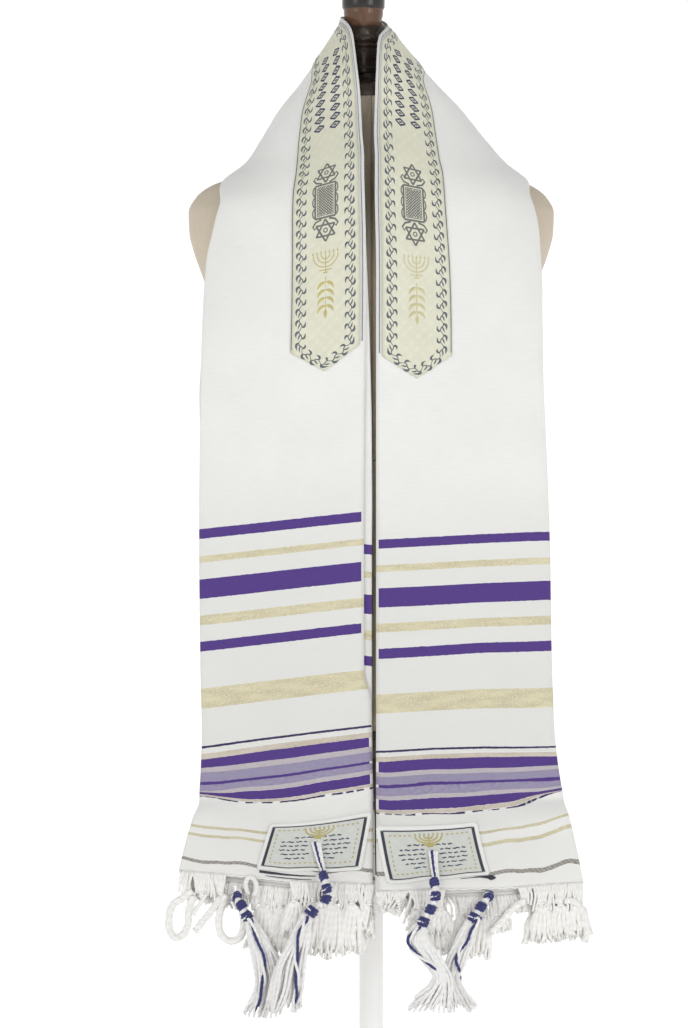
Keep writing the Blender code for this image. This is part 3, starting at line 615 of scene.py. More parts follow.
# %% Lifted lines
# Where tucks and pulls lift the woven lines, in millimetres: a row for each height, and in
# it a value for each share of the panel's width.
LIFT_PARTS = [0.05, 0.3, 0.6, 0.88, 1.0]
LINE_LIFTS = {
    LEFT: {55: [0, 0, 0, 0, 0], 98: [4.0, 5.7, 3.4, 2.2, 2.5], 113: [4.6, 6.1, 4.3, 1.4, 1.0],
           131: [1.8, 2.2, 1.3, -1.4, -2.2], 148: [1.3, 1.5, 0.8, -0.2, -0.5],
           248: [2.0, 1.4, 0.4, -0.3, -0.4], 304: [1.8, 1.7, 1.2, 1.0, 1.0],
           359: [1.4, 1.5, 1.3, 1.6, 1.7], 450: [0, 0, 0, 0, 0]},
    RIGHT: {55: [0, 0, 0, 0, 0], 99: [1.3, 8.0, 12.4, 14.0, 15.0],
            115: [1.5, 8.2, 10.6, 9.0, 8.6], 126: [1.0, 5.8, 6.8, 4.4, 3.0],
            136: [1.3, 4.0, 4.6, 1.9, 0.4], 145: [1.7, 2.7, 2.2, 0.2, -0.4],
            243: [0.3, 1.0, 2.1, 1.0, 0.8], 300: [0.4, 0.4, 0.7, 0.0, -0.2],
            353: [0.4, 0.9, 1.3, 1.0, 0.4], 450: [0, 0, 0, 0, 0]},
}
# The tuck at the outer fold: its height, how much of the cloth's length it takes in, how
# far up and down that is felt, the share of the width where it starts, and how softly it
# parts the heights above it from those below.
TUCK_HEIGHT = 94.7
TUCK_TAKES = 5.2
TUCK_REACH = 14.0
TUCK_SHARE = 0.72
TUCK_BLUR = 1.6
print("rows of lifted lines:", len(LINE_LIFTS[LEFT]), "and", len(LINE_LIFTS[RIGHT]))

# %% Heights on the flat cloth
def line_lift(side, up, part):
    """Reads LINE_LIFTS between its rows and columns."""
    heights = list(LINE_LIFTS[side])
    rows = np.stack([np.interp(part, LIFT_PARTS, row) for row in LINE_LIFTS[side].values()])
    place = np.interp(up, heights, np.arange(len(heights)))
    low = np.minimum(place.astype(int), len(heights) - 2)
    first = np.take_along_axis(rows, low[None], 0)[0]
    second = np.take_along_axis(rows, low[None] + 1, 0)[0]
    return first + (second - first) * (place - low)


def woven_height(side, up, part):
    """The height on the flat cloth; a tuck at the outer fold swallows one stripe's end."""
    up = up - line_lift(side, up, part)
    if side == RIGHT:
        up = np.interp(up, RIGHT_HEIGHTS, LEFT_HEIGHTS)
    swallowed = TUCK_TAKES * step_up(part, TUCK_SHARE, 1.0)
    halves = np.tanh((up - TUCK_HEIGHT) / TUCK_BLUR)
    return up + swallowed * halves * bell(up, TUCK_HEIGHT, TUCK_REACH)


print("140 mm up the right hem was woven at", round(float(woven_height(RIGHT, 140.0, 0.5))), "mm")

# %% [markdown]
# The cloth is one sheet that goes over itself three times, with a small round fold at each side, so
# it is built as one long grid: every row runs across the front layer, round the outer fold, back
# behind, round the inner fold and forward again to the free edge. A Solidify modifier gives it the
# thickness of the weave. Simulated cloth would not keep its stripes in line over the hidden layers,
# so the folds are placed one by one.

# %% Sheets from grids of points
def add_mesh(name, points, faces, flat, material):
    """A smooth piece from points and flat places, both in millimetres."""
    mesh = bpy.data.meshes.new(name)
    mesh.from_pydata((np.asarray(points).reshape(-1, 3) * MM).tolist(), [], faces)
    corners = np.empty(len(mesh.loops), dtype=np.int64)
    mesh.loops.foreach_get("vertex_index", corners)
    layer = mesh.uv_layers.new(name="flat")
    layer.data.foreach_set("uv", (np.asarray(flat).reshape(-1, 2)[corners] * MM).ravel())
    mesh.shade_smooth()
    mesh.materials.append(material)
    piece = bpy.data.objects.new(name, mesh)
    bpy.context.scene.collection.objects.link(piece)
    return piece


def grid_faces(rows, columns, start=0):
    first = start + np.arange((rows - 1) * columns).reshape(rows - 1, columns)[:, :-1].ravel()
    return np.stack([first, first + 1, first + columns + 1, first + columns], axis=1).tolist()


def add_sheet(name, grid, flat, thickness, material):
    rows, columns = grid.shape[:2]
    piece = add_mesh(name, grid, grid_faces(rows, columns), flat, material)
    wall = piece.modifiers.new("wall", "SOLIDIFY")
    wall.thickness = thickness * MM
    wall.offset = 0.0
    wall.use_even_offset = True
    wall.use_quality_normals = True
    return piece


def keep(piece, slot, *nodes):
    """The piece rides on the form and stands for its plain solids, which it hides. The slot is not
    used.
    """
    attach(piece, "root")
    if nodes:
        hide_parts(*nodes)
    return piece


print("a grid of 3 by 3 has", len(grid_faces(3, 3)), "faces")

# %% [markdown]
# The cloth is white with dyed and metallic stripes. Seven dyes are laid over the white in turn,
# each masked by the heights of its stripes. Real yarn is uneven, so every dye is broken up by the
# same slubs and crumbs of noise, the gold gets pale flecks of painted glint where flat metal thread
# lies on top, and the lines near the loose hem wander. The white gets a band of painted shade above
# the hem and painted light at the hem.

# %% Cloth finish
DYES = {
    "purple": shade(80, 51, 136),
    "gold": shade(219, 212, 179),
    "cream": shade(208, 198, 187),
    "mauve": shade(197, 190, 195),
    "lavender": shade(125, 116, 152),
    "navy": shade(58, 46, 92),
    "grey": shade(118, 112, 104),
}
Fuzz = namedtuple("Fuzz", "slubs clouds flecks crumbs patches")


def make_fuzz(cloth):
    """The unevenness of the yarn: long slubs, soft clouds, flecks, crumbs and patches."""
    across, up = cloth.flat_place()
    x, y, z = cloth.room_place()
    return Fuzz(cloth.noise(across / 14, up / 1.6),
                cloth.noise(x / 60, y / 60, z / 60),
                cloth.noise(across / 1.5, up / 1.0, detail=1.0),
                cloth.noise(across / 3.4, up / 2.0, detail=2.0),
                cloth.noise(across / 30, up / 7))


def white_ground(cloth, up, fuzz):
    """White, with painted shade greying a band above the hem and painted light that makes it
    whitest at the hem.
    """
    colour = cloth.mix(fuzz.slubs * 0.55 + fuzz.clouds * 0.45, shade(220, 220, 217),
                       shade(237, 237, 234))
    # Painted shade: a band from about 100 to 420 mm above the hem is greyed, more where the clouds
    # are high.
    painted_shade_band = ((up - 100) / 50).clear() - ((up - 330) / 90).clear()
    colour = cloth.mix(painted_shade_band.most(0.0) * (0.3 + fuzz.clouds * 0.5), colour,
                       shade(214, 214, 210))
    # Painted light: the last 90 mm above the hem are made whiter.
    return cloth.mix((1.0 - up / 90).clear() * 0.7, colour, shade(243, 242, 238))


def on_stripes(height, edges):
    """1 on the stripes between these edges, else 0."""
    inside = 0.0
    for low, high in edges:
        inside = height.near((low + high) / 2, (high - low) / 2) + inside
    return inside


print("dyes:", ", ".join(DYES))

# %% Dyed threads
def metallic_thread(cloth, tone, fuzz):
    dull = ((fuzz.flecks * 1.4 + fuzz.crumbs * 1.2 + fuzz.patches * 0.9 - 1.55) * 2.2).clear()
    # Painted glints: pale flecks where the metal thread lies flat. The dull flecks are the thread's
    # own darker tone.
    bright = ((fuzz.crumbs * 1.5 + fuzz.flecks * 0.8 - fuzz.patches * 0.4 - 1.05) * 2.0).clear()
    thread = cloth.mix(dull * 0.6, tone, shade(174, 164, 136))
    return cloth.mix(bright * 0.8, thread, shade(240, 237, 224))


def patterned_thread(cloth, pattern, crumbs, offset, tone, paler):
    """Two tones in a small woven pattern."""
    return cloth.mix((pattern + crumbs - offset).clear(), tone, paler)


def make_cloth_finish():
    cloth = Finish("shawl_weave", 0.88, Sheen_Weight=0.2, Sheen_Roughness=0.6)
    across, up = cloth.flat_place()
    fuzz = make_fuzz(cloth)
    loose = (1.3 - up / 62).clear()
    drift = (cloth.noise(across / 30, up / 300, detail=0.0) - 0.5) * loose * 11
    height = up + (cloth.noise(across / 4, up / 4) - 0.5) * 1.1 + drift
    colour = white_ground(cloth, up, fuzz)
    metal = 0.0
    for dye, tone in DYES.items():
        inside = on_stripes(height, STRIPES[dye])
        if dye == "purple":
            inside = inside * (across > 2.6)
        if dye == "navy":
            dashes = ((cloth.noise(across / 6, up / 60, detail=0.0) - 0.36) * 9).clear()
            inside = inside * (dashes + (up > 100)).clear()
        if dye in ("gold", "cream"):
            thread = metallic_thread(cloth, tone, fuzz)
            metal = inside * 0.25 + metal
        elif dye == "lavender":
            dots = across.wave(2.6) * up.wave(2.4) * 0.5 + 0.5
            thread = patterned_thread(cloth, dots * 0.5, fuzz.crumbs * 0.9, 0.3, tone,
                                      shade(176, 170, 188))
        elif dye == "grey":
            twist = (across * 0.7 + up).wave(3.4) * 0.5 + 0.5
            thread = patterned_thread(cloth, twist * 0.35, fuzz.crumbs, 0.25, tone,
                                      shade(196, 192, 186))
        else:
            darker = tuple(part * 0.72 for part in tone)
            thread = cloth.mix((fuzz.slubs * 0.6 + fuzz.crumbs * 0.8 - 0.2).clear(), darker, tone)
        colour = cloth.mix(inside, colour, thread)
    relief = across.wave(0.9) * up.wave(0.8) * 0.25 + fuzz.slubs * 0.5 + fuzz.crumbs * 0.35
    return cloth.done(colour, relief, 0.3, roughness=0.9 - metal * 0.9, metallic=metal)


cloth_finish = make_cloth_finish()
print("cloth finish has", len(cloth_finish.node_tree.nodes), "nodes")

# %% [markdown]
# Now the cloth itself. Each half is a grid of rows from the hem to the nape, and the two
# halves meet at the nape, so the whole shawl is one piece without a seam. Rows are closer
# together near the hem, where the stripes' tuck and the swag need them.

# %% Rows of the folded shawl
LAYER_COLUMNS = 34
FOLD_RUN = 5.0
FOLD_STEP = 1.2


def fold_arc(first, last, sideways):
    """Three points round the fold that joins two layers."""
    middle = (first + last) / 2
    radius = (first - last) / 2
    size = np.linalg.norm(radius, axis=-1, keepdims=True)
    sideways = sideways / np.linalg.norm(sideways, axis=-1, keepdims=True) * size
    return [middle + radius * math.cos(a) + sideways * math.sin(a)
            for a in np.radians((45, 90, 135))]


def folded_grid(side, ups):
    """One half of the cloth as rows of points, with each point's place on the flat cloth."""
    half = HALF[side]
    part = np.linspace(0, 1, LAYER_COLUMNS)
    width = half.width(ups)
    across = part * width[:, None]
    layers = [half.place(i, across, ups[:, None]) for i in range(3)]
    front, middle, back = layers
    outer = fold_arc(front[:, -1], middle[:, -1], front[:, -1] - front[:, -2])
    inner = fold_arc(middle[:, 0], back[:, 0], middle[:, 0] - middle[:, 1])
    grid = np.concatenate([front, np.stack(outer, 1), middle[:, ::-1], np.stack(inner, 1), back],
                          axis=1)
    turns = np.array([[1, 2, 3]]) * FOLD_STEP
    width = width[:, None]
    flat_across = np.concatenate([across, width + turns, 2 * width + FOLD_RUN - across[:, ::-1],
                                  2 * width + FOLD_RUN + turns, 2 * (width + FOLD_RUN) + across],
                                 axis=1)
    ones = np.ones((len(ups), 3))
    parts = part + 0 * across
    parts = np.concatenate([parts, ones, parts[:, ::-1], 0 * ones, parts], axis=1)
    flat_up = woven_height(side, ups[:, None] + 0 * parts, parts)
    return grid, np.stack([flat_across, flat_up], axis=-1)


print("points in a row:", folded_grid(LEFT, np.array([0.0, 10.0]))[0].shape[1])

# %% The folded shawl
WALL = 1.0
HEM_ROWS_TOP = 150.0
HEM_ROW_STEP = 4.0
PLAIN_ROWS = 112


def row_heights(length):
    return np.concatenate([np.arange(0, HEM_ROWS_TOP, HEM_ROW_STEP),
                           np.linspace(HEM_ROWS_TOP + 2, length, PLAIN_ROWS)])


def make_cloth():
    left, left_flat = folded_grid(LEFT, row_heights(HALF[LEFT].length))
    right, right_flat = folded_grid(RIGHT, row_heights(HALF[RIGHT].length)[:-1])
    grid = np.concatenate([left, right[::-1]])
    flat = np.concatenate([left_flat, right_flat[::-1]])
    return keep(add_sheet("folded_shawl", grid, flat, WALL, cloth_finish),
                "shawl_cloth", "shawl_cloth")


shawl = make_cloth()
print("cloth faces before its thickness:", len(shawl.data.polygons))

# %% [markdown]
# The neckband and the corner patches are stiff satin brocade, sewn flat on the shawl. A brocade has
# a fine diagonal twill and a faint figure woven in the same colour. The figure shows by its gloss,
# and here also by a lighter painted sheen. Their embroidery is raised thread, so it is real relief
# and not paint.

# %% Brocade finish
def make_brocade(name, dark, pale, painted_sheen, ground):
    brocade = Finish(name, 0.5, Sheen_Weight=0.15)
    across, up = brocade.flat_place()
    twill = (across + up).wave(1.1)
    figure = (across.wave(13.0) * up.wave(13.0) + (across + up).wave(9.0) * 0.4).clear()
    clouds = brocade.noise(across / 25, up / 25)
    colour = brocade.mix(clouds, dark, pale)
    # Painted sheen: the woven figure is made lighter in colour.
    colour = brocade.mix(figure * 0.35, colour, painted_sheen)
    colour = brocade.mix((twill * 0.5 + 0.5) * 0.25, colour, ground)
    height = twill * 0.35 + figure * 0.4 + brocade.noise(across / 2, up / 2) * 0.3
    return brocade.done(colour, height, 0.16, roughness=0.62 - figure * 0.22)


def make_thread(name, tone, metallic, shadow=0.62):
    """Raised satin stitch: fine slanting threads."""
    thread = Finish(name, 0.45, Sheen_Weight=0.1)
    across, up = thread.flat_place()
    lay = (up + across * 0.6).wave(0.55)
    fuzz = thread.noise(across / 0.7, up / 0.7)
    darker = tuple(part * shadow for part in tone)
    colour = thread.mix((lay * 0.3 + fuzz * 0.7 + 0.1).clear(), darker, tone)
    return thread.done(colour, lay * 0.5 + fuzz * 0.3, 0.12,
                       roughness=0.5 - fuzz * 0.15, metallic=fuzz * metallic)


brocade_finish = make_brocade("cream_brocade", shade(208, 207, 186), shade(222, 221, 202),
                              shade(230, 228, 208), shade(188, 189, 170))
patch_finish = make_brocade("pale_brocade", shade(206, 209, 202), shade(219, 221, 216),
                            shade(226, 228, 220), shade(190, 194, 187))
THREADS = {
    "navy": make_thread("navy_thread", shade(66, 72, 104), 0.0),
    "slate": make_thread("slate_thread", shade(104, 110, 118), 0.0),
    "grey": make_thread("grey_thread", shade(122, 124, 120), 0.0),
    "gold": make_thread("gold_thread", shade(214, 202, 132), 0.55),
    "pale_gold": make_thread("pale_gold_thread", shade(224, 216, 166), 0.4),
    "black": make_thread("black_thread", shade(56, 58, 72), 0.0),
    "white": make_thread("white_thread", shade(250, 250, 246), 0.0, 0.88),
}
print("threads:", ", ".join(THREADS))

# %% [markdown]
# The neckband runs from a point on one front, round the nape, to a point on the other. It
# is a flat sheet that is laid on the shawl by the same call as the cloth's own rows, a
# little way in from the inner edge. A straight band can't lie flat round a neck, so it is
# eased in there and gets narrower.

# %% Neckband
SELVAGE = 6.0
SEAM = 0.3
TRIM_THICK = 0.8
TRIM_LIFT = WALL / 2 + SEAM + TRIM_THICK / 2 + 0.1
STITCH_LIFT = TRIM_LIFT + TRIM_THICK / 2 + 0.06
BAND_WIDTH = 70.0
BAND_POINT = 22.0
BAND_END = {LEFT: 508.0, RIGHT: 516.0}
BAND_HALF = {side: HALF[side].length - BAND_END[side] for side in HALF}
BAND_LENGTH = BAND_HALF[LEFT] + BAND_HALF[RIGHT]
# The band is eased in round the neck: its width there, by the distance from the nape.
EASE = {
    LEFT: smooth_curve([0, 22, 50, 72, 90, 115, 150, 200, 250, 330, 960],
                       [0.8, 0.8, 0.74, 0.7, 0.7, 0.84, 0.93, 0.965, 0.98, 1, 1]),
    RIGHT: smooth_curve([0, 22, 50, 72, 90, 115, 150, 200, 250, 330, 400, 970],
                        [0.8, 0.8, 0.74, 0.7, 0.68, 0.8, 0.885, 0.91, 0.935, 0.98, 1, 1]),
}


def on_band(across, along, lift):
    """Places on the neckband: across from its inner edge, along from its left point."""
    across, along = np.broadcast_arrays(np.asarray(across, float), np.asarray(along, float))
    from_nape = np.abs(BAND_HALF[LEFT] - along)
    left = HALF[LEFT].place(0, SELVAGE + across * EASE[LEFT](from_nape),
                            BAND_END[LEFT] + along, lift)
    right = HALF[RIGHT].place(0, SELVAGE + across * EASE[RIGHT](from_nape),
                              BAND_END[RIGHT] + BAND_LENGTH - along, lift)
    return np.where((along < BAND_HALF[LEFT])[..., None], left, right)


def make_band():
    across = np.linspace(0, BAND_WIDTH, 15)
    point = BAND_POINT * np.abs(2 * across / BAND_WIDTH - 1)
    share = np.linspace(0, 1, 190)[:, None]
    along = point + share * (BAND_LENGTH - 2 * point)
    across = across + 0 * along
    flat = np.stack([across, along], axis=-1)
    return keep(add_sheet("neckband", on_band(across, along, TRIM_LIFT), flat, TRIM_THICK,
                          brocade_finish), "brocade", "atarah_band")


make_band()
print("neckband length:", round(float(BAND_LENGTH)), "mm")

# %% [markdown]
# Each line of the embroidery is a narrow ribbon that is a little higher in its middle and
# may swell and thin out, so a leaf and a stem are made by the same call. The ribbons are
# drawn on the flat brocade and then carried on to its curved surface. A picture could be
# painted on instead, but raised thread catches the light as it should.

# %% Stitches
def headings(path):
    """The way a path runs at each of its points."""
    along = np.gradient(path, axis=0)
    return along / np.maximum(np.linalg.norm(along, axis=1, keepdims=True), 1e-6)


class Stitches:
    """Ribbons of one thread, drawn in flat millimetres."""

    def __init__(self, place, rise=0.22):
        self.place = place
        self.rise = rise
        self.points = []
        self.flats = []
        self.faces = []
        self.count = 0

    def line(self, path, widths):
        path = np.asarray(path, dtype=float)
        widths = np.broadcast_to(np.asarray(widths, dtype=float), (len(path),))
        along = headings(path)
        side = np.stack([-along[:, 1], along[:, 0]], axis=1) * widths[:, None] / 2
        rails = np.stack([path - side, path, path + side], axis=1)
        lifts = np.array([0.0, self.rise, 0.0]) * np.minimum(1, widths)[:, None]
        self.points.append(self.place(rails[..., 0], rails[..., 1], STITCH_LIFT + lifts))
        run = distances(path)
        across = np.stack([0 * widths, widths / 2, widths], axis=1)
        self.flats.append(np.stack([across, run[:, None] + 0 * across], axis=-1))
        self.faces += grid_faces(len(path), 3, self.count)
        self.count += 3 * len(path)

    def leaf(self, start, bend, end, width):
        """A leaf from its foot through a bend to its tip."""
        t = np.linspace(0, 1, 7)[:, None]
        start, bend, end = (np.asarray(p, dtype=float) for p in (start, bend, end))
        path = (1 - t) ** 2 * start + 2 * t * (1 - t) * bend + t * t * end
        self.line(path, 0.15 + width * np.sin(math.pi * t[:, 0] ** 0.8) ** 0.9)

    def ring(self, centre, radius, width, sides=18):
        angle = np.linspace(0, 2 * math.pi, sides + 1)
        self.line(np.stack([centre[0] + radius * np.cos(angle),
                            centre[1] + radius * np.sin(angle)], axis=1), width)

    def frame(self, corners, width, steps=5):
        """Straight lines from corner to corner."""
        for first, last in zip(corners, corners[1:]):
            self.line(np.linspace(first, last, steps), width)

    def star(self, centre, radius, width):
        """A six-pointed star of two woven triangles."""
        for turn in (0, math.pi):
            angles = turn + np.linspace(0, 2 * math.pi, 4)
            self.frame(np.stack([centre[0] + radius * np.sin(angles),
                                 centre[1] + radius * np.cos(angles)], axis=1), width)

    def sew(self, name, thread, slot):
        piece = add_mesh(name, np.concatenate([p.reshape(-1, 3) for p in self.points]),
                         self.faces, np.concatenate([f.reshape(-1, 2) for f in self.flats]),
                         THREADS[thread])
        return keep(piece, slot)


print("a stitch stands", round(STITCH_LIFT, 2), "mm above the cloth's middle")

# %% [markdown]
# Two designs are used more than once. The border is a leaf scroll: a wavy stem with three
# leaves to each wave, set out along any path. The lamp is the seven-branched one that such
# shawls often carry, drawn from three bows, a stem, flames and a foot.

# %% Leaf scroll
def follow(path, spot, aside, easing=1.5):
    """A place at a distance along a path and to its left; easing rounds the corners."""
    run = distances(path)

    def at(spot):
        return np.stack([np.interp(spot, run, path[:, i]) for i in (0, 1)], axis=-1)

    spot = np.asarray(spot)
    along = at(spot + easing) - at(spot - easing)
    along = along / np.linalg.norm(along, axis=-1, keepdims=True)
    return at(spot) + np.stack([-along[..., 1], along[..., 0]], axis=-1) * aside[..., None]


def leaf_scroll(stitches, path, pitch=11.2):
    """A border of stems and curled leaves along a path."""
    path = np.asarray(path, dtype=float)
    length = distances(path)[-1]
    units = int(length / pitch)
    pitch = length / units
    t = np.linspace(0, 1, 6)
    for k in range(units):
        start = k * pitch

        def spot(along, aside):
            return follow(path, start + along * pitch, np.asarray(aside))

        stitches.line(spot(t, 1.8 * np.sin(2 * math.pi * t)), 0.6 + 0.5 * np.sin(math.pi * t))
        stitches.leaf(spot(0.20, 1.0), spot(0.22, 6.0), spot(0.75, 4.2), 2.5)
        stitches.leaf(spot(0.80, -1.0), spot(1.0, -5.2), spot(0.38, -4.8), 2.2)
        stitches.leaf(spot(0.50, 0.2), spot(0.66, 1.8), spot(0.98, 2.6), 1.4)
    return units


print("a scroll has 3 leaves to a wave")

# %% Seven-branched lamp
def menorah(stitches, centre, width, height, line):
    """The seven-branched lamp: a stem, three bowed pairs of arms, flames and a foot."""
    x, y = centre
    arm_pitch = width / 6.4
    stitches.line([(x, y - height * 0.62), (x, y), (x, y + height * 0.3)], line)
    for arm in (1, 2, 3):
        reach = arm_pitch * arm
        angle = np.linspace(math.pi, 2 * math.pi, 13)
        bow = np.stack([x + reach * np.cos(angle),
                        y + height * 0.3 + height * 0.21 * arm * np.sin(angle)], axis=1)
        stitches.line(bow, line)
    for lamp in range(-3, 4):
        foot = (x + arm_pitch * lamp, y + height * 0.33)
        tip = (foot[0], foot[1] + height * 0.2)
        stitches.leaf(foot, (foot[0] + line, (foot[1] + tip[1]) / 2), tip, line * 1.2)
    for part in (-0.48, -0.62):
        reach = width * (0.1 + abs(part + 0.62))
        stitches.line([(x - reach, y + height * part), (x + reach, y + height * part)], line)


print("the lamp is ready to sew")

# %% [markdown]
# The neckband's border is a leaf scroll that runs down one side, round the point and up
# the other. Inside it each end carries a latticed panel between two stars, a gold lamp
# over a sprig, and two columns of lozenges near the neck.

# %% Neckband embroidery
def from_end(side):
    """The place function of one end, measured up from its own point."""
    if side == LEFT:
        return on_band
    return lambda across, along, lift: on_band(across, BAND_LENGTH - along, lift)


def lattice_panel(stitches, centre):
    """A latticed panel with scalloped sides between two six-pointed stars."""
    x, y = centre
    half, rise = 10.5, 17.0
    for reach, width in ((half, 1.9), (half - 2.4, 0.8)):
        tall = rise - (half - reach)
        stitches.frame([(x - reach, y - tall), (x + reach, y - tall), (x + reach, y + tall),
                        (x - reach, y + tall), (x - reach, y - tall)], width)
    run = 7.4 * np.linspace(-1, 1, 41)
    for slope in (-1, 1):
        for shift in np.arange(-28, 29, 2.8):
            path = np.stack([x + run, y + shift + slope * run], axis=1)
            inside = np.abs(path[:, 1] - y) < rise - 3.0
            if inside.sum() > 3:
                stitches.line(path[inside][::2], 0.95)
    arc = np.linspace(-math.pi / 2, math.pi / 2, 7)
    for hand in (-1, 1):
        for step in (-2, 0, 2):
            stitches.line(np.stack([x + hand * (half + 2.6 * np.cos(arc)),
                                    y + step * 5.6 + 5.0 * np.sin(arc)], axis=1), 1.3)
    for end in (-1, 1):
        stitches.star((x, y + end * 30), 11.0, 1.8)
        stitches.ring((x, y + end * 30), 2.0, 1.2, 8)
        for hand in (-1, 1):
            curl = [(x + hand * 4, y + end * 18.5), (x + hand * 10, y + end * 20.5),
                    (x + hand * 13, y + end * 24.5), (x + hand * 11, y + end * 27.5),
                    (x + hand * 9, y + end * 25.5)]
            stitches.line(curl, (1.9, 1.8, 1.7, 1.5, 0.9))


print("the lattice panel is ready to sew")

# %% Sprig and lozenges
def sprig(stitches, top, length):
    """A stem with pairs of leaves and a bud, pointing down."""
    x, y = top
    stitches.line([(x, y), (x, y - length * 0.8)], 0.9)
    for pair in range(4):
        foot = y - length * (0.12 + 0.19 * pair)
        for hand in (-1, 1):
            stitches.leaf((x, foot), (x + hand * 6.5, foot - 0.5), (x + hand * 8.2, foot - 7), 3.0)
    stitches.leaf((x, y - length * 0.78), (x + 0.3, y - length * 0.9), (x, y - length), 3.4)


def lozenge_columns(stitches, low, high, pitch=9.6):
    for spot in np.arange(low, high, pitch):
        for x, y in ((25.5, spot), (44.5, spot + pitch / 2)):
            for hand in (-1, 1):
                stitches.line([(x - 6.0, y), (x, y + hand * 3.2), (x + 6.0, y)], (1.5, 2.2, 1.5))
            stitches.line([(x - 1.6, y), (x + 1.6, y)], 1.6)


print("the sprig and the lozenges are ready to sew")

# %% Sew the neckband
MIDDLE = BAND_WIDTH / 2
EDGE_LINES = (-2.6, BAND_WIDTH - 0.8)


def sew_band_end(side, word):
    thread = Stitches(from_end(side))
    lozenge_columns(thread, 250, 334)
    thread.sew(f"neckband_lozenges_{word}", "navy", "brocade")
    thread = Stitches(from_end(side))
    high = BAND_HALF[side]
    units = leaf_scroll(thread, [(60, high), (60, 27), (58, 22), (48, 14), (MIDDLE, 7), (22, 14),
                                 (12, 22), (10, 27), (10, high)])
    for x in EDGE_LINES:
        edge = np.arange(BAND_POINT + 3, high, 6.0)
        thread.line(np.stack([x + 0 * edge, edge], axis=1), 0.8)
    thread.sew(f"neckband_scroll_{word}", "slate", "brocade")
    thread = Stitches(from_end(side))
    lattice_panel(thread, (MIDDLE, 168))
    thread.sew(f"neckband_lattice_{word}", "grey", "brocade")
    thread = Stitches(from_end(side))
    menorah(thread, (MIDDLE, 108), 27, 19, 1.0)
    sprig(thread, (MIDDLE, 92), 40)
    thread.sew(f"neckband_lamp_{word}", "gold" if side == LEFT else "pale_gold", "brocade")
    print(word, "end: leaves in the border:", 3 * units)


for side, word in SIDES:
    sew_band_end(side, word)

# %% [markdown]
# A patch strengthens each corner where the tassel's cords go through. It has white turned
# edges, a dark bar at each side, a dotted gold frame, a small gold lamp and rows of short
# dark stitches. The hidden layer carries the same patches, measured from its free edge.

# %% Corner patches
PATCH_EDGE = 8.0
PATCH_WIDTH = 95.0
PATCH_HEIGHT = 54.0
PATCH_HEM = 10.0
PATCH_EYE = {LEFT: (46.5, 30.5), RIGHT: (47.5, 27.0)}
# Where the corners of each front patch really lie: low and near the inner edge, low and far from
# it, high and near, high and far. Each is across from that edge and up.
PATCH_CORNERS = {
    LEFT: [(12, 13), (114, 9), (2, 69), (99, 63)],
    RIGHT: [(10.5, 8), (113, 18), (0.6, 69), (101, 78)],
}


def on_patch(side, layer):
    """The place function of one patch, with a slight ripple along its lower edge."""
    half = HALF[side]
    near = float(half.width(0)) - FREE_EDGE - PATCH_EDGE - PATCH_WIDTH
    square = [(near + x, PATCH_HEM + y) for y in (0, PATCH_HEIGHT) for x in (0, PATCH_WIDTH)]
    corners = np.array(square if layer else PATCH_CORNERS[side], dtype=float)

    def place(across, along, lift):
        u = np.asarray(across)[..., None] / PATCH_WIDTH
        v = np.asarray(along)[..., None] / PATCH_HEIGHT
        low = corners[0] + (corners[1] - corners[0]) * u
        high = corners[2] + (corners[3] - corners[2]) * u
        spot = low + (high - low) * v
        ripple = 0.7 * np.sin(spot[..., 0] / 7 + side) * (1 - v[..., 0]) ** 2
        return half.place(layer, spot[..., 0], spot[..., 1] + ripple, lift)

    return place


print("a patch is", PATCH_WIDTH, "by", PATCH_HEIGHT, "mm")

# %% Patch embroidery
TURNED_EDGE = 0.8
BAR_INSET = 4.2
BAR_END = 3.4
DOT_PITCH = 4.6
ROW_REACHES = (22, 30, 32, 30, 27, 20)
ROW_TOP = 37.5
ROW_PITCH = 4.7
MARK_LENGTHS = (4.2, 6.4, 3.0, 5.4, 7.0, 3.6)
MARK_GAP = 1.6


def patch_edging(stitches, eye):
    """The turned edge all round and the ring round the eye."""
    low, right, top = TURNED_EDGE, PATCH_WIDTH - TURNED_EDGE, PATCH_HEIGHT - TURNED_EDGE
    stitches.frame([(low, low), (right, low), (right, top), (low, top), (low, low)], 3.2, 14)
    stitches.ring(eye, 3.4, 1.6)


def patch_bars(stitches, _):
    """A thick bar at each side and a thin line along the top and the foot."""
    for x in (BAR_INSET, PATCH_WIDTH - BAR_INSET):
        stitches.line(np.linspace((x, BAR_END), (x, PATCH_HEIGHT - BAR_END), 14), 2.8)
    for y in (BAR_END, PATCH_HEIGHT - BAR_END):
        stitches.line(np.linspace((5, y), (PATCH_WIDTH - 5, y), 20), 1.1)


print("dark bars stand", BAR_INSET, "mm from a patch's sides")

# %% Patch lamp and stitches
def patch_lamp(stitches, eye):
    """A dotted frame, left open above the eye, and a small lamp."""
    for x in np.arange(11, PATCH_WIDTH - 10, DOT_PITCH):
        for y in (8.5, PATCH_HEIGHT - 7.5):
            if abs(x - eye[0]) > 15 or y < 20:
                stitches.line([(x - 1.1, y), (x + 1.1, y)], 1.3)
    for y in np.arange(13, PATCH_HEIGHT - 10, DOT_PITCH):
        for x in (9.5, PATCH_WIDTH - 9.5):
            stitches.line([(x, y - 1.1), (x, y + 1.1)], 1.3)
    menorah(stitches, (eye[0], PATCH_HEIGHT - 11.5), 28, 11, 1.6)


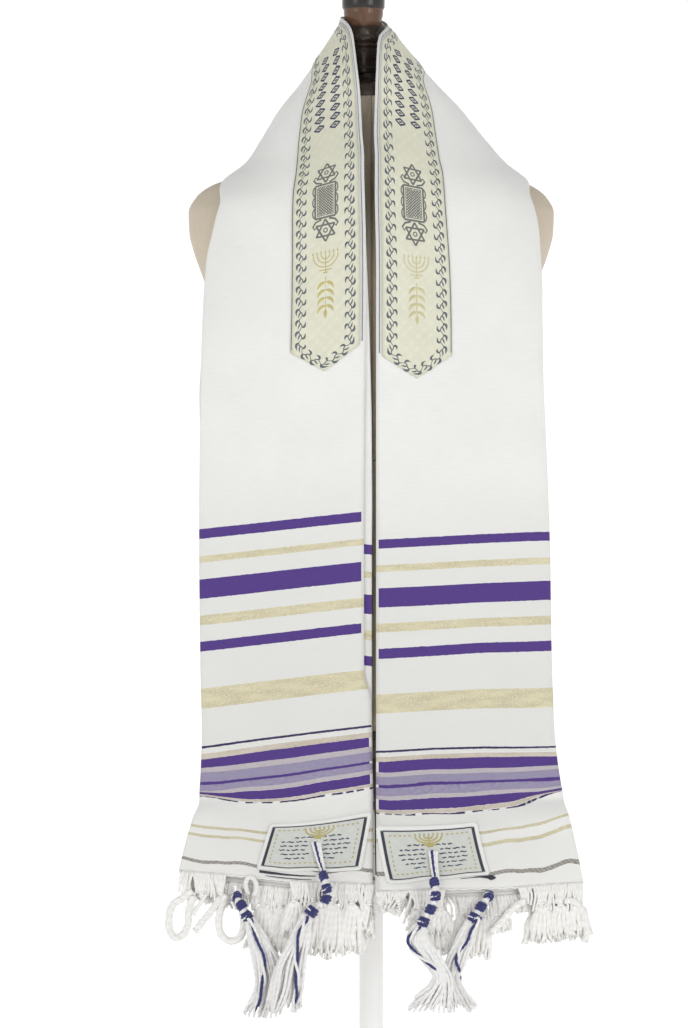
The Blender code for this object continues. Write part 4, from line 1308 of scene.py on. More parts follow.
def patch_stitches(stitches, eye):
    """Rows of short wavy stitches that leave the eye free."""
    for row, reach in enumerate(ROW_REACHES):
        y = ROW_TOP - row * ROW_PITCH
        x = eye[0] - reach
        step = 0
        while x < eye[0] + reach:
            length = MARK_LENGTHS[(step + 2 * row) % len(MARK_LENGTHS)]
            if abs(x + length / 2 - eye[0]) > 6.5:
                bend = 0.5 if step % 2 else -0.4
                stitches.line([(x, y), (x + length * 0.3, y + bend),
                               (x + length * 0.7, y - bend), (x + length, y + bend)],
                              (1.0, 1.5, 1.3, 0.8))
            x += length + MARK_GAP
            step += 1


print("rows of marks:", len(ROW_REACHES))

# %% Make the patches
def make_patch(name, side, layer):
    place = on_patch(side, layer)
    across, along = np.meshgrid(np.linspace(0, PATCH_WIDTH, 27), np.linspace(0, PATCH_HEIGHT, 17))
    flat = np.stack([across, along], axis=-1)
    keep(add_sheet(name, place(across, along, TRIM_LIFT), flat, TRIM_THICK, patch_finish),
         "brocade", f"corner_{name}")
    for part, draw, thread, rise in (("edging", patch_edging, "white", 0.3),
                                     ("bars", patch_bars, "black", 0.22),
                                     ("lamp", patch_lamp, "gold", 0.22),
                                     ("stitches", patch_stitches, "navy", 0.22)):
        stitches = Stitches(place, rise)
        draw(stitches, PATCH_EYE[side])
        stitches.sew(f"{name}_{part}", thread, "brocade")


LAYERS = ((0, "front"), (2, "back"))
for side, word in SIDES:
    for layer, place_word in LAYERS:
        make_patch(f"patch_{word}_{place_word}", side, layer)
print("patches made:", len(SIDES) * len(LAYERS))

# %% Dark lines along the hem
# Dark lines drawn on the front layer just above its hem: across, up and width.
HEM_LINES = {
    LEFT: [[(56, 5.6, 0.8), (70, 5.2, 1.6), (85, 5.4, 2.2), (100, 6.0, 3.0), (112, 6.6, 3.2)],
           [(60, 1.6, 0.5), (74, 1.2, 1.2), (90, 1.4, 1.2), (106, 2.2, 0.6)]],
    RIGHT: [[(84, 12.6, 0.7), (95, 13.8, 0.9), (104, 14.4, 1.4), (111, 14.0, 4.0),
             (115, 13.0, 7.4), (119, 12.4, 2.4)]],
}


def make_hem_dark_lines(side, word):
    """Dark lines drawn on the front layer just above its hem."""
    def place(across, up, lift):
        return HALF[side].place(0, across, up, lift - 0.7)

    edge = Stitches(place)
    for line in HEM_LINES[side]:
        line = np.array(line)
        edge.line(line[:, :2], line[:, 2])
    edge.sew(f"patch_{word}_hidden_edge", "black", "brocade")


for side, word in SIDES:
    make_hem_dark_lines(side, word)
print("dark lines along the hems:", sum(len(lines) for lines in HEM_LINES.values()))

# %% [markdown]
# The fringe is the shawl's own warp, twisted into plied yarn. Pairs of yarns cross into a
# net, are knotted in a row, and hang as loose tufts and loops. A ply looks like two strands
# wound round each other, so one tube with a twisted two-lobed section shows it with half
# the faces of two real strands.

# %% Curves for yarn
def smooth_spline(knots, points, x):
    """A round curve through the points, by cubic pieces."""
    slopes = np.gradient(points, knots, axis=0)
    i = np.clip(np.searchsorted(knots, x) - 1, 0, len(knots) - 2)
    gap = (knots[i + 1] - knots[i])[:, None]
    t = (x - knots[i])[:, None] / gap
    rise = points[i + 1] - points[i]
    start = slopes[i] * gap
    end = slopes[i + 1] * gap
    return (points[i] + t * start + t * t * (3 * rise - 2 * start - end)
            + t * t * t * (start + end - 2 * rise))


def across_ways(along, guide):
    """Two ways square to a heading and to each other; guide only picks the first."""
    first = np.cross(along, guide)
    first /= np.linalg.norm(first, axis=-1, keepdims=True)
    return first, np.cross(along, first)


def jitter(seed, index):
    """A steady made-up unevenness between -1 and 1."""
    return np.sin(12.9898 * (index + 1) + 78.233 * seed)


print("a made-up unevenness:", round(float(jitter(1, 2)), 2))

# %% Plied yarn
LOBE = 0.24


class Yarn:
    """Plied tubes that are gathered into one piece."""

    def __init__(self, sides=8):
        self.sides = sides
        self.points = []
        self.flats = []
        self.faces = []
        self.count = 0

    def strand(self, path, radius, pitch=6.5, taper=0.0, step=1.9):
        """One plied tube; pitch is the length of a turn and step that of a face."""
        path = np.asarray(path, dtype=float)
        run = distances(path)
        stations = np.linspace(0, run[-1], max(5, int(run[-1] / step)))
        spots = smooth_spline(run, path, stations)
        first, second = across_ways(headings(spots), (0.31, 0.87, 0.38))
        angle = np.linspace(0, 2 * math.pi, self.sides + 1)[:-1]
        turn = stations[:, None] * 2 * math.pi / pitch
        lobe = 1 + LOBE * np.cos(2 * (angle - turn))
        width = radius * lobe
        if taper:
            width = width * (1 - taper * step_up(stations, run[-1] * 0.8, run[-1]))[:, None]
        ring = (spots[:, None] + first[:, None] * (np.cos(angle) * width)[..., None]
                + second[:, None] * (np.sin(angle) * width)[..., None])
        self.points += [ring.reshape(-1, 3), spots[[0, -1]]]
        self.flats.append(np.stack([angle + 0 * turn, stations[:, None] + 0 * lobe],
                                   axis=-1).reshape(-1, 2))
        self.flats.append(np.array([[0, 0], [0, run[-1]]]))
        self.close_tube(len(stations))

    def close_tube(self, rings):
        """The faces of the last tube's rings and of its two pointed ends."""
        n = self.sides
        base = self.count + np.arange(rings - 1)[:, None] * n
        here = np.arange(n)
        after = (here + 1) % n
        self.faces += np.stack([base + here, base + after, base + n + after, base + n + here],
                               axis=-1).reshape(-1, 4).tolist()
        end = self.count + rings * n
        last = end - n
        self.faces += [(end, self.count + (k + 1) % n, self.count + k) for k in range(n)]
        self.faces += [(end + 1, last + k, last + (k + 1) % n) for k in range(n)]
        self.count = end + 2

    def made(self, name, material):
        return add_mesh(name, np.concatenate(self.points), self.faces,
                        np.concatenate(self.flats), material)


print("a tube has", Yarn().sides, "sides")

# %% Ropes and knots
KNOT_STEPS = 12


def lay_rope(yarn, path, plies, spread, radius, turns=1.2):
    """Plies that wind loosely round one path, spread to a distance from it."""
    path = np.asarray(path, dtype=float)
    share = np.linspace(0, 1, len(path))
    first, second = across_ways(headings(path), (0.13, 0.97, 0.21))
    for ply in range(plies):
        angle = (2 * math.pi * (ply / plies + turns * share))[:, None]
        aside = (first * np.cos(angle) + second * np.sin(angle)) * spread
        yarn.strand(path + aside, radius)


def wind_knot(yarn, centre, axis, width, radius, turns=2.2):
    """A wound knot: a coil of yarn round an axis."""
    axis = np.asarray(axis, dtype=float) / np.linalg.norm(axis)
    first, second = across_ways(axis, (0.0, 1.0, 0.12))
    t = np.linspace(0, 1, int(KNOT_STEPS * turns))
    angle = 2 * math.pi * turns * t
    swell = width * (0.72 + 0.28 * np.sin(math.pi * t))
    height = (t - 0.5) * turns * radius * 1.7
    path = (np.asarray(centre) + first * (np.cos(angle) * swell)[:, None]
            + second * (np.sin(angle) * swell)[:, None] + axis * height[:, None])
    yarn.strand(path, radius, pitch=5.0, step=1.5)


print("points in a turn of a knot:", KNOT_STEPS)

# %% Yarn finish
def make_yarn_finish(name, tone, darker):
    yarn = Finish(name, 0.85, Sheen_Weight=0.3)
    around, along = yarn.flat_place()
    fibre = yarn.noise(around * 3, along / 0.8, detail=3.0)
    ply = (along * (2 * math.pi / 7.0) - around).math("SINE") * 0.5 + 0.5
    # Painted shade: the colour darkens along the twist, in the groove between the plies. The fibre
    # noise is the yarn's own uneven tone.
    colour = yarn.mix((fibre * 0.7 + ply * 0.3).clear(), darker, tone)
    return yarn.done(colour, fibre * 0.6 + ply * 0.2, 0.25, roughness=0.8 + fibre * 0.15)


fringe_yarn = make_yarn_finish("fringe_yarn", shade(252, 251, 248), shade(232, 230, 225))
print("yarn finish is ready")

# %% [markdown]
# A hand-knotted fringe is never even. Tables say where it is parted for a tassel, where its
# net keeps a hole and how long it hangs, and the single yarns are made up round them by a
# sine with a seed, so that they come out the same each time. Hair curves could stand for
# yarn too, but real tubes cast the right shadows.

# %% Fringe sizes
BUNCH_PITCH = 19.0
TURN_DOWN = 16.0
NET_DROP = 19.0
KNOT_HEIGHT = 6.0
KNOT_SHIFT = 1.5
DROP_SHIFT = 5.0
SWAY = 4.2
FLARE = 8.0
NET_PLIES = 4
TUFT_PLIES = 20
TUFT_REACH = 12.5
HEM_RADIUS = 0.9
NET_RADIUS = 1.35
FELT_RADIUS = 1.4
WANDERER_RADIUS = 1.3
CORE_RADIUS = 2.9
TUFT_RADIUS = 1.5
START = 0.4
# Where a front tassel hangs in place of the fringe.
PARTINGS = {(LEFT, 0): (85, 150), (RIGHT, 0): (60, 135)}
# Where the net keeps a hole, along each hem.
OPEN_HOLES = {(LEFT, 0): [150, 172], (LEFT, 2): [30, 150], (RIGHT, 0): [36, 150],
              (RIGHT, 2): [70, 180]}
# How long the fringe hangs at a few places along each hem. Where that is short, the net is
# short too and ends in its knots.
HANG = {
    (LEFT, 0): ([0, 12, 30, 46, 62, 90, 100, 101], [42, 62, 73, 68, 54, 50, 25, 25]),
    (LEFT, 2): ([0, 40, 80, 105, 118, 128, 190], [48, 60, 60, 66, 62, 25, 22]),
    (RIGHT, 0): ([0, 28, 40, 60, 110, 135, 157, 163, 200], [14, 14, 30, 44, 44, 20, 20, 54, 54]),
    (RIGHT, 2): ([0, 28, 42, 60, 112, 132, 157, 163, 205], [13, 14, 36, 58, 60, 22, 20, 46, 48]),
}
print("fringes:", len(HANG))

# %% Loose ropes
# Loose ropes and loops of the front fringes: how each is twisted, and its places along the
# hem and down from it.
Twist = namedtuple("Twist", "plies spread radius")
THICK = Twist(6, 2.3, 1.55)
THIN = Twist(4, 1.3, 1.3)
LOOSE = {
    (LEFT, 0): [
        (THICK, [(179, 20), (189, 28), (200, 37), (203.5, 50), (203, 61), (197, 68), (189, 65),
                 (184, 54), (183, 40), (178, 25)]),
        (THIN, [(119, 20), (115.5, 13), (116.5, 5), (121, 0.5), (125.5, 4), (126.5, 11),
                (124, 19)]),
        (THICK, [(146, 21), (150.7, 33), (153.7, 49), (150.7, 62), (142, 67), (133, 63),
                 (129, 51), (130, 37), (134, 23)]),
        (THICK, [(152, 24), (157, 33), (165, 44), (171, 52), (177, 60)]),
        (THIN, [(166, 22), (170, 30), (176, 38), (178, 44)]),
    ],
    (RIGHT, 0): [
        (THICK, [(147, 15), (139, 19), (131, 26), (122, 36), (113, 45)]),
        (THICK, [(190, 18), (199, 19), (206, 26), (211, 38), (213, 50), (210, 60)]),
    ],
}
print("loose ropes:", sum(len(ropes) for ropes in LOOSE.values()))

# %% Where a fringe hangs
def hem_place(side, layer):
    """Places given along a hem and down from it, as the fringe hangs."""
    half = HALF[side]

    def place(along, down, sway=0.0, swell=0.0):
        along, down, sway, swell = np.broadcast_arrays(
            *(np.asarray(value, dtype=float) for value in (along, down, sway, swell)))
        root = half.place(layer, along, 0 * along)
        slope = root - half.place(layer, along, 0 * along + 8)
        slope /= np.linalg.norm(slope, axis=-1, keepdims=True)
        reach = TURN_DOWN * (1 - np.exp(-down / TURN_DOWN))
        hang = np.stack([sway, swell, reach - down], axis=-1)
        return root + slope * reach[..., None] + hang

    return place


print("10 mm below the left hem:", np.round(hem_place(LEFT, 0)(90.0, 10.0), 1))

# %% Fringe
class Fringe:
    """The fringe of one hem, with its places given along the hem and down from it."""

    def __init__(self, side, layer):
        self.side = side
        self.key = (side, layer)
        self.seed = 2 * side + layer
        self.place = hem_place(side, layer)
        self.length = float(HALF[side].width(0))
        self.bunches = int(self.length / BUNCH_PITCH)
        self.pitch = self.length / self.bunches
        low, high = PARTINGS.get(self.key, (0, 0))
        self.kept = [not low < (i + 0.5) * self.pitch < high for i in range(self.bunches)]
        self.knots = self.find_knots()
        self.yarn = Yarn()

    def jitter(self, row, index):
        return jitter(self.seed + row, index)

    def hang_at(self, along):
        return np.interp(along, *HANG[self.key])

    def find_knots(self):
        """Where each knot of the net lies, if a bunch beside it is kept."""
        knots = {}
        for k in range(self.bunches + 1):
            if any(self.kept[max(0, k - 1):k + 1]):
                at = np.clip(k * self.pitch + KNOT_SHIFT * self.jitter(0, k), 3.0,
                             self.length - 3.0)
                lowest = float(self.hang_at(at)) - KNOT_HEIGHT
                knots[k] = (at, min(lowest, NET_DROP) + KNOT_SHIFT * self.jitter(1, k))
        return knots


print("knots in the left front net:", len(Fringe(LEFT, 0).knots))

# %% The net
def hem_yarn(fringe):
    """The yarn that runs along the hem."""
    along = np.linspace(0.8, fringe.length - 0.8, 60)
    fringe.yarn.strand(fringe.place(along, 0.8 + 0.5 * np.sin(along * 1.3), 0,
                                    0.2 * np.sin(along)), HEM_RADIUS)


def cross_bunch(fringe, i):
    """Half of each bunch goes to the knot on its left and half to that on its right."""
    share = np.linspace(0, 1, 6)
    for knot, hand in ((i, -1), (i + 1, 1)):
        at, down = fringe.knots[knot]
        for ply in range(NET_PLIES):
            start = (i + 0.5) * fringe.pitch + hand * (0.2 + 1.9 * ply)
            bow = 1.2 * np.sin(math.pi * share) * fringe.jitter(ply, i)
            swell = 0.9 * hand * np.sin(math.pi * share) + 0.8 * (ply % 2)
            fringe.yarn.strand(
                fringe.place(start + (at - hand * 1.3 * ply - start) * share + bow,
                             START + (down + 2 - START) * share, 0, swell), NET_RADIUS)


def felt_hole(fringe, i):
    """Most holes of the net are felted shut by the warp between them."""
    middle = (i + 0.5) * fringe.pitch
    holes = OPEN_HOLES.get(fringe.key, [])
    if not fringe.kept[i] or any(abs(middle - hole) < fringe.pitch / 2 for hole in holes):
        return
    share = np.linspace(0, 1, 6)
    reach = min(NET_DROP + 8, fringe.hang_at(middle) - 1)
    for ply in (-1, 0, 1):
        along = middle + 2.9 * ply + 1.2 * np.sin(4 * share + i + ply)
        fringe.yarn.strand(fringe.place(along, START + reach * share, 0, -0.9 + 0.7 * ply),
                           FELT_RADIUS)


def wanderer(fringe, i):
    """A loose yarn that wanders over the net and breaks up its even holes."""
    start = (i + 0.5) * fringe.pitch / 4
    if fringe.kept[min(fringe.bunches - 1, int(start / fringe.pitch))]:
        share = np.linspace(0, 1, 6)
        reach = min(NET_DROP + 6, fringe.hang_at(start)) + 4 * fringe.jitter(9, i)
        aside = (7 * fringe.jitter(10, i) + 2 * np.sin(5 * share)) * share
        fringe.yarn.strand(fringe.place(start + aside, START + reach * share, 0,
                                        1.6 * fringe.jitter(11, i)), WANDERER_RADIUS)


print("the net's pieces are ready")

# %% [markdown]
# Below each knot the plies come apart. A few thick, short tubes fill the middle of the tuft
# so that it isn't hollow, and twenty thin ones with their own length, wave and curl make
# its outside.

# %% Knots and tufts
def net_knot(fringe, at, down):
    """The yarns that fall straight into a knot, and the knot."""
    share = np.linspace(0, 1, 6)
    for ply in range(NET_PLIES):
        top = at + 2.6 * (ply - (NET_PLIES - 1) / 2)
        fringe.yarn.strand(fringe.place(top + (at - top) * share, START + (down + 2) * share, 0,
                                        -0.6 + 0.5 * (ply % 2)), NET_RADIUS)
    heart = fringe.place(at, down + KNOT_HEIGHT / 2)
    below = fringe.place(at, down + KNOT_HEIGHT / 2 + 2)
    wind_knot(fringe.yarn, heart, below - heart, 2.4, TUFT_RADIUS, turns=2.4)


def tuft(fringe, k, at, foot):
    """The loose ends below a knot: four thick ones inside and many thin ones."""
    hang = fringe.hang_at(at) - foot
    if hang < 4:
        return
    hang = max(hang + DROP_SHIFT * fringe.jitter(2, k), 6.0)
    outwards = max(0.0, 2 * at / fringe.length - 1) ** 2 * fringe.side
    sway = min(1.0, hang / 40) * (SWAY * fringe.jitter(3, k) + FLARE * outwards)
    s = np.linspace(0, 1, 10)
    for core in (-0.75, -0.25, 0.25, 0.75):
        along = np.clip(at + TUFT_REACH * core * s ** 0.3, 2, fringe.length)
        fringe.yarn.strand(fringe.place(along, foot + 0.86 * hang * s, sway * s ** 1.6, -0.6),
                           CORE_RADIUS, step=3.0, taper=0.3)
    for ply in range(TUFT_PLIES):
        fan = (ply + 0.5) / TUFT_PLIES * 2 - 1 + 0.1 * fringe.jitter(5, ply + 7 * k)
        own = hang * (1 - 0.05 * fan ** 2 + 0.07 * fringe.jitter(6, ply + 5 * k))
        wave = 1.7 * np.sin(math.pi * s * (3.2 + fringe.jitter(7, ply + k)) + 2 * ply + k)
        curl = 2.0 * fringe.jitter(8, 3 * ply + k) * s ** 4
        along = np.clip(at + 1.6 * fan + TUFT_REACH * fan * s ** 0.3 + wave * s, 1,
                        fringe.length + 4)
        swell = 2.4 * math.sin(1.9 * ply + k) * s ** 0.5 + 1.4 * s * fringe.jitter(4, ply)
        fringe.yarn.strand(fringe.place(along, foot + own * s, sway * s ** 1.6 + curl, swell),
                           TUFT_RADIUS, taper=0.3)


print("ends in a tuft:", TUFT_PLIES)

# %% Make the fringes
def make_fringe(name, side, layer, node):
    fringe = Fringe(side, layer)
    hem_yarn(fringe)
    for i in range(fringe.bunches):
        if fringe.kept[i]:
            cross_bunch(fringe, i)
    for k, (at, down) in fringe.knots.items():
        net_knot(fringe, at, down)
        tuft(fringe, k, at, down + KNOT_HEIGHT - 1)
    for i in range(fringe.bunches):
        felt_hole(fringe, i)
    for i in range(4 * fringe.bunches):
        wanderer(fringe, i)
    for twist, path in LOOSE.get(fringe.key, []):
        path = np.array(path, dtype=float)
        lay_rope(fringe.yarn, fringe.place(path[:, 0], path[:, 1], 0, -1.5), *twist)
    return keep(fringe.yarn.made(name, fringe_yarn), "fringe", node)


for side, word in SIDES:
    for layer, place_word in LAYERS:
        fringe = make_fringe(f"yarn_fringe_{word}_{place_word}", side, layer,
                             f"fringe_{word}_{place_word}")
        print(fringe.name, "faces:", len(fringe.data.polygons))

# %% [markdown]
# A corner tassel is tied from cords that are doubled through the eye of the patch. They run
# down side by side, are wound and knotted with a blue cord three or four times, and then
# hang free, one blue cord among the white ones. Each cord is one plied tube, on a path
# through the same knots as its solid.

# %% Tassel sizes
Perch = namedtuple("Perch", "across up radius")
Knot = namedtuple("Knot", "x drop depth radius")
Spread = namedtuple("Spread", "x drop depth half_x half_y")
Tassel = namedtuple("Tassel", "name side layer perches knots spreads blue dive")
TASSELS = [
    Tassel("left_front", LEFT, 0,
           each(Perch, (56, 42, 2.6), (54, 31, 2.8), (52, 21, 2.8), (50, 13, 3.0)),
           each(Knot, (-48, 871, -178, 5.2), (-46, 877, -181, 3.4), (-45, 883, -182, 5.6),
                (-45, 888, -182, 3.4), (-46, 893, -182, 5.6), (-52, 899, -183, 4.0),
                (-60, 905, -184, 7.0), (-64, 911, -184, 5.0)),
           each(Spread, (-70, 932, -184, 9, 5), (-79, 958, -184, 13, 6), (-83, 982, -184, 16, 6),
                (-87, 1000, -184, 19, 6)),
           [(-67, 916), (-72, 928), (-75, 948), (-74, 966), (-75, 982), (-77, 996)], 1020),
    Tassel("left_back", LEFT, 2,
           each(Perch, (113, 42, 2.6), (116, 28, 2.8), (122, 12, 2.8), (126, 2, 3.0)),
           each(Knot, (-129, 884, -145, 3.0), (-132, 889, -152, 3.4), (-134, 893, -160, 5.4),
                (-132, 897, -165, 4.0), (-129, 901, -167, 5.8), (-127, 906, -168, 4.2),
                (-124, 911, -168, 6.2), (-122, 917, -168, 4.6)),
           each(Spread, (-112, 938, -168, 10, 5), (-104, 960, -168, 14, 5),
                (-102, 983, -168, 15, 5), (-109, 1007, -168, 20, 5)),
           [(-120, 914), (-115, 928), (-109, 946), (-107, 962), (-107.5, 977), (-112, 993),
            (-117, 1005)], 1020),
    Tassel("right_front", RIGHT, 0,
           each(Perch, (57, 47, 2.6), (58, 30, 2.8), (59, 15, 2.8), (60, 6, 3.0)),
           each(Knot, (61, 877, -182, 5.4), (62, 883, -185, 3.4), (62, 890, -186, 5.8),
                (60, 896, -186, 3.6), (57, 903, -186, 5.8), (53, 909, -187, 3.8),
                (50, 915, -187, 6.4), (47, 921, -187, 4.6)),
           each(Spread, (45, 932, -187, 10, 5), (56, 950, -187, 9, 5), (68, 969, -187, 6.5, 5),
                (55, 999, -187, 22, 6)),
           [(45, 920), (38, 927), (35.5, 935), (41, 944), (50, 951), (58, 957), (66, 968),
            (68, 980)], 956),
    Tassel("right_back", RIGHT, 2,
           each(Perch, (120, 42, 2.6), (119, 28, 2.8), (116, 12, 2.8), (114, 2, 3.0)),
           each(Knot, (117, 885, -150, 3.0), (116, 888, -157, 3.4), (115, 892, -164, 5.4),
                (111, 897, -169, 4.0), (107, 902, -171, 5.8), (104, 907, -171, 4.2),
                (100, 912, -171, 6.2), (98, 918, -171, 4.6)),
           each(Spread, (91, 938, -171, 8, 5), (83, 956, -171, 8, 5), (78, 971, -171, 6.5, 5),
                (87, 1001, -171, 18, 5)),
           [(106, 912), (100, 922), (94, 932), (86, 944), (83.5, 953), (84, 962), (87, 976)],
           958),
]
print("tassels:", ", ".join(row.name for row in TASSELS))

# %% [markdown]
# Both cords are plied yarn like the fringe, only smoother. The path of a tassel goes down
# over the patch from its eye and then from knot to knot, and its last stretch is a bundle
# of free ends that spreads through a few ovals.

# %% Tassel cords
CORD_RADIUS = 1.4
TIED_RADIUS = 1.5
COIL_RADIUS = 1.75
END_RADIUS = 1.55
INNER_RADIUS = 2.7
FREE_ENDS = 30
LEAD_SPACING = 2.3
white_cord = make_yarn_finish("white_cord", shade(251, 250, 248), shade(226, 225, 223))
blue_cord = make_yarn_finish("blue_cord", shade(60, 63, 128), shade(36, 38, 84))


def tassel_path(row):
    """The middle of the tassel's cord, from the eye to the last knot."""
    facing = 1 if row.layer == 0 else -1
    stacked = WALL / 2 + SEAM + (TRIM_THICK + SEAM if row.layer == 0 else 0)
    half = HALF[row.side]
    centres = [half.place(row.layer, perch.across, perch.up, (stacked + perch.radius) * facing)
               for perch in row.perches]
    return centres + [np.array([knot.x, knot.depth, REACH - knot.drop]) for knot in row.knots]


def lead_cords(lead, white, blue):
    """Four cords side by side from the eye to the first knot, one of them blue."""
    pinch = np.linspace(1, 0.35, len(lead))
    for cord in range(4):
        shift = np.array([(cord - 1.5) * LEAD_SPACING, -0.5 * (cord % 2), 0])
        yarn = blue if cord == 1 else white
        yarn.strand([p + shift * w for p, w in zip(lead, pinch)], CORD_RADIUS, pitch=6.0)


def tie_knots(knots, tied, white, blue):
    """Cords through all knots, a blue coil at each big knot and a white one at the others."""
    for cord in range(3):
        shift = np.array([math.cos(2.1 * cord), math.sin(2.1 * cord), 0]) * 1.3
        white.strand([p + shift for p in tied], TIED_RADIUS, pitch=8.0)
    for i, (knot, middle) in enumerate(zip(knots, tied)):
        axis = tied[min(len(tied) - 1, i + 1)] - tied[max(0, i - 1)]
        if knot.radius > 5:
            wind_knot(blue, middle, axis, knot.radius - 1.8, COIL_RADIUS, turns=2.8)
            if i % 4 == 2:
                wind_knot(white, middle, axis + (3.0, 0.0, 2.0), knot.radius - 0.7, 0.9, turns=1.0)
        else:
            wind_knot(white, middle, axis, max(knot.radius - 1.0, 2.4), 1.3, turns=2.0)


print("cord finishes are ready")

# %% Tassels
def free_ends(row, white):
    """The white ends that spread below the last knot, with a few thick ones inside."""
    last = row.knots[-1]
    for k in range(FREE_ENDS):
        angle = 2 * math.pi * (k + 0.5) / FREE_ENDS
        size = 0.35 + 0.65 * abs(jitter(3, k))
        stops = [Spread(last.x, last.drop, last.depth, 2.2, 2.2), *row.spreads]
        rope = np.array([[s.x + s.half_x * math.cos(angle) * (size if i else 1),
                          s.depth + s.half_y * math.sin(angle) * (size if i else 1),
                          REACH - s.drop] for i, s in enumerate(stops)])
        rope[2:-1, 0] += 3.2 * jitter(len(row.name) + 1, 3 * k + np.arange(len(rope) - 3))
        rope[-1, 2] += DROP_SHIFT * jitter(len(row.name), k)
        white.strand(rope, END_RADIUS, pitch=6.0, taper=0.3)
        if k % 6 == 0:
            inner = np.stack([rope[:, 0], last.depth + 0.3 * (rope[:, 1] - last.depth),
                              rope[:, 2] + 4], axis=1)
            white.strand(inner, INNER_RADIUS, step=3.0, taper=0.4)


def blue_end(row, white, blue):
    """The blue cord lies in front, twisted loosely with a white one, and dives in at last."""
    last = row.knots[-1]
    guide = [(last.x, last.depth - 3.5, REACH - last.drop + 2)]
    guide += [(x, last.depth - 6.5 + 9 * step_up(drop, row.dive, row.dive + 14), REACH - drop)
              for x, drop in row.blue]
    stops = np.linspace(0, 1, 25)
    guide = smooth_spline(np.linspace(0, 1, len(guide)), np.array(guide), stops)
    for cord, phase in ((blue, 0.0), (white, math.pi)):
        angle = 2 * math.pi * 2.5 * stops + phase
        twist = np.stack([1.5 * np.sin(angle), -1.5 * np.cos(angle), 0 * angle], axis=1)
        cord.strand(guide + twist, CORD_RADIUS, pitch=6.0, taper=0.3)


def make_tassel(row):
    white = Yarn()
    blue = Yarn()
    path = tassel_path(row)
    lead_cords(path[:len(row.perches) + 1], white, blue)
    tie_knots(row.knots, path[len(row.perches):], white, blue)
    free_ends(row, white)
    blue_end(row, white, blue)
    white_piece = keep(white.made(f"tassel_{row.name}", white_cord), "tassel_cord",
                       f"tzitzit_{row.name}")
    blue_piece = keep(blue.made(f"tassel_{row.name}_blue", blue_cord), "tassel_cord")
    return white_piece, blue_piece


for row in TASSELS:
    white_piece, blue_piece = make_tassel(row)
    print(row.name, "faces:", len(white_piece.data.polygons), len(blue_piece.data.polygons))

# %% [markdown]
# The dress form is a torso without limbs, covered in linen that is sewn from panels. Its solid is
# coarse, so a finer body is lofted through the same table of girths. The seams are narrow grooves
# in the shape: eight run down it and one runs round the waist. The finish darkens the grooves with
# painted shade and adds a row of stitches on both sides.

# %% Torso sizes
Girth = namedtuple("Girth", "drop half front back")
TORSO = each(Girth, (88, 50, 47, 50), (104, 50, 48, 52), (122, 55, 50, 57), (138, 74, 54, 64),
             (150, 99, 56, 68), (161, 125, 56, 71), (169, 145, 56, 73), (177, 166, 58, 76),
             (188, 180, 65, 80), (204, 188, 76, 84), (226, 187, 88, 88), (246, 182, 96, 91),
             (280, 170, 102, 93), (325, 159, 105, 92), (385, 149, 104, 87), (460, 134, 93, 80),
             (550, 143, 97, 90), (630, 156, 104, 102), (700, 159, 104, 105), (732, 157, 102, 104))
TORSO_SQUARE = 2.15
# The turn of each seam that runs down, from the middle of the back round to it again, and
# the steps beside a seam where the body needs more columns and rows.
SEAM_TURNS = (90, 118, 180, 242, 270, 298, 360, 422, 450)
SEAM_STEPS = np.array([-1.2, -0.7, -0.35, 0, 0.35, 0.7, 1.2])
SEAM_DEPTH = 1.3
SEAM_WIDTH = 1.3
WAIST_DROP = 460.0
ROUND = 160.0
print("girths from neck to hips:", len(TORSO))

# %% Linen finish
def make_linen():
    linen = Finish("linen_cover", 0.92, Sheen_Weight=0.2)
    around, up = linen.flat_place()
    slubs = linen.noise(around / 9, up / 0.9)
    cross_slubs = linen.noise(around / 0.9, up / 9)
    clouds = linen.noise(around / 90, up / 90)
    weave = around.wave(1.1) * up.wave(1.1)
    tone = slubs * 0.35 + cross_slubs * 0.35 + clouds * 0.3
    colour = linen.mix(tone, shade(184, 170, 147), shade(219, 208, 190))
    off = (up - WAIST_DROP).math("ABSOLUTE")
    for turn in SEAM_TURNS:
        off = off.math("MINIMUM", (around - math.radians(turn) * ROUND).math("ABSOLUTE"))
    stitches = off.near(4.5, 0.5) * (up.math("PINGPONG", 2.0) > 0.6)
    colour = linen.mix(stitches * 0.6, colour, shade(233, 226, 212))
    # Painted shade: the seam grooves are darkened.
    colour = linen.mix((1.0 - off / 1.5).clear() * 0.8, colour, shade(118, 105, 86))
    return linen.done(colour, weave * 0.4 + slubs * 0.3 + cross_slubs * 0.3, 0.25)


linen_finish = make_linen()
print("linen finish has", len(linen_finish.node_tree.nodes), "nodes")

# %% Torso
def torso_grid():
    """Where the rows and the columns of the body lie: drops and angles."""
    top, foot = TORSO[0].drop, TORSO[-1].drop
    drops = np.unique(np.concatenate([np.linspace(top, 260, 70), np.linspace(266, foot, 60),
                                      WAIST_DROP + 2.8 * SEAM_STEPS]))
    plain = [turn for turn in range(93, 450, 3)
             if min(abs(turn - seam) for seam in SEAM_TURNS) > 1.6]
    beside = np.add.outer(SEAM_TURNS, SEAM_STEPS).ravel()
    beside = beside[(beside >= SEAM_TURNS[0]) & (beside <= SEAM_TURNS[-1])]
    return drops, np.radians(np.sort(np.concatenate([plain, beside])))


def seam_grooves(drops, angle, half):
    """How deep the seams press in at each place."""
    groove = SEAM_DEPTH * bell(drops, WAIST_DROP, SEAM_WIDTH)
    for seam in SEAM_TURNS:
        off = (angle - math.radians(seam)) * half
        groove = np.maximum(groove, SEAM_DEPTH * bell(off, 0, SEAM_WIDTH))
    return groove


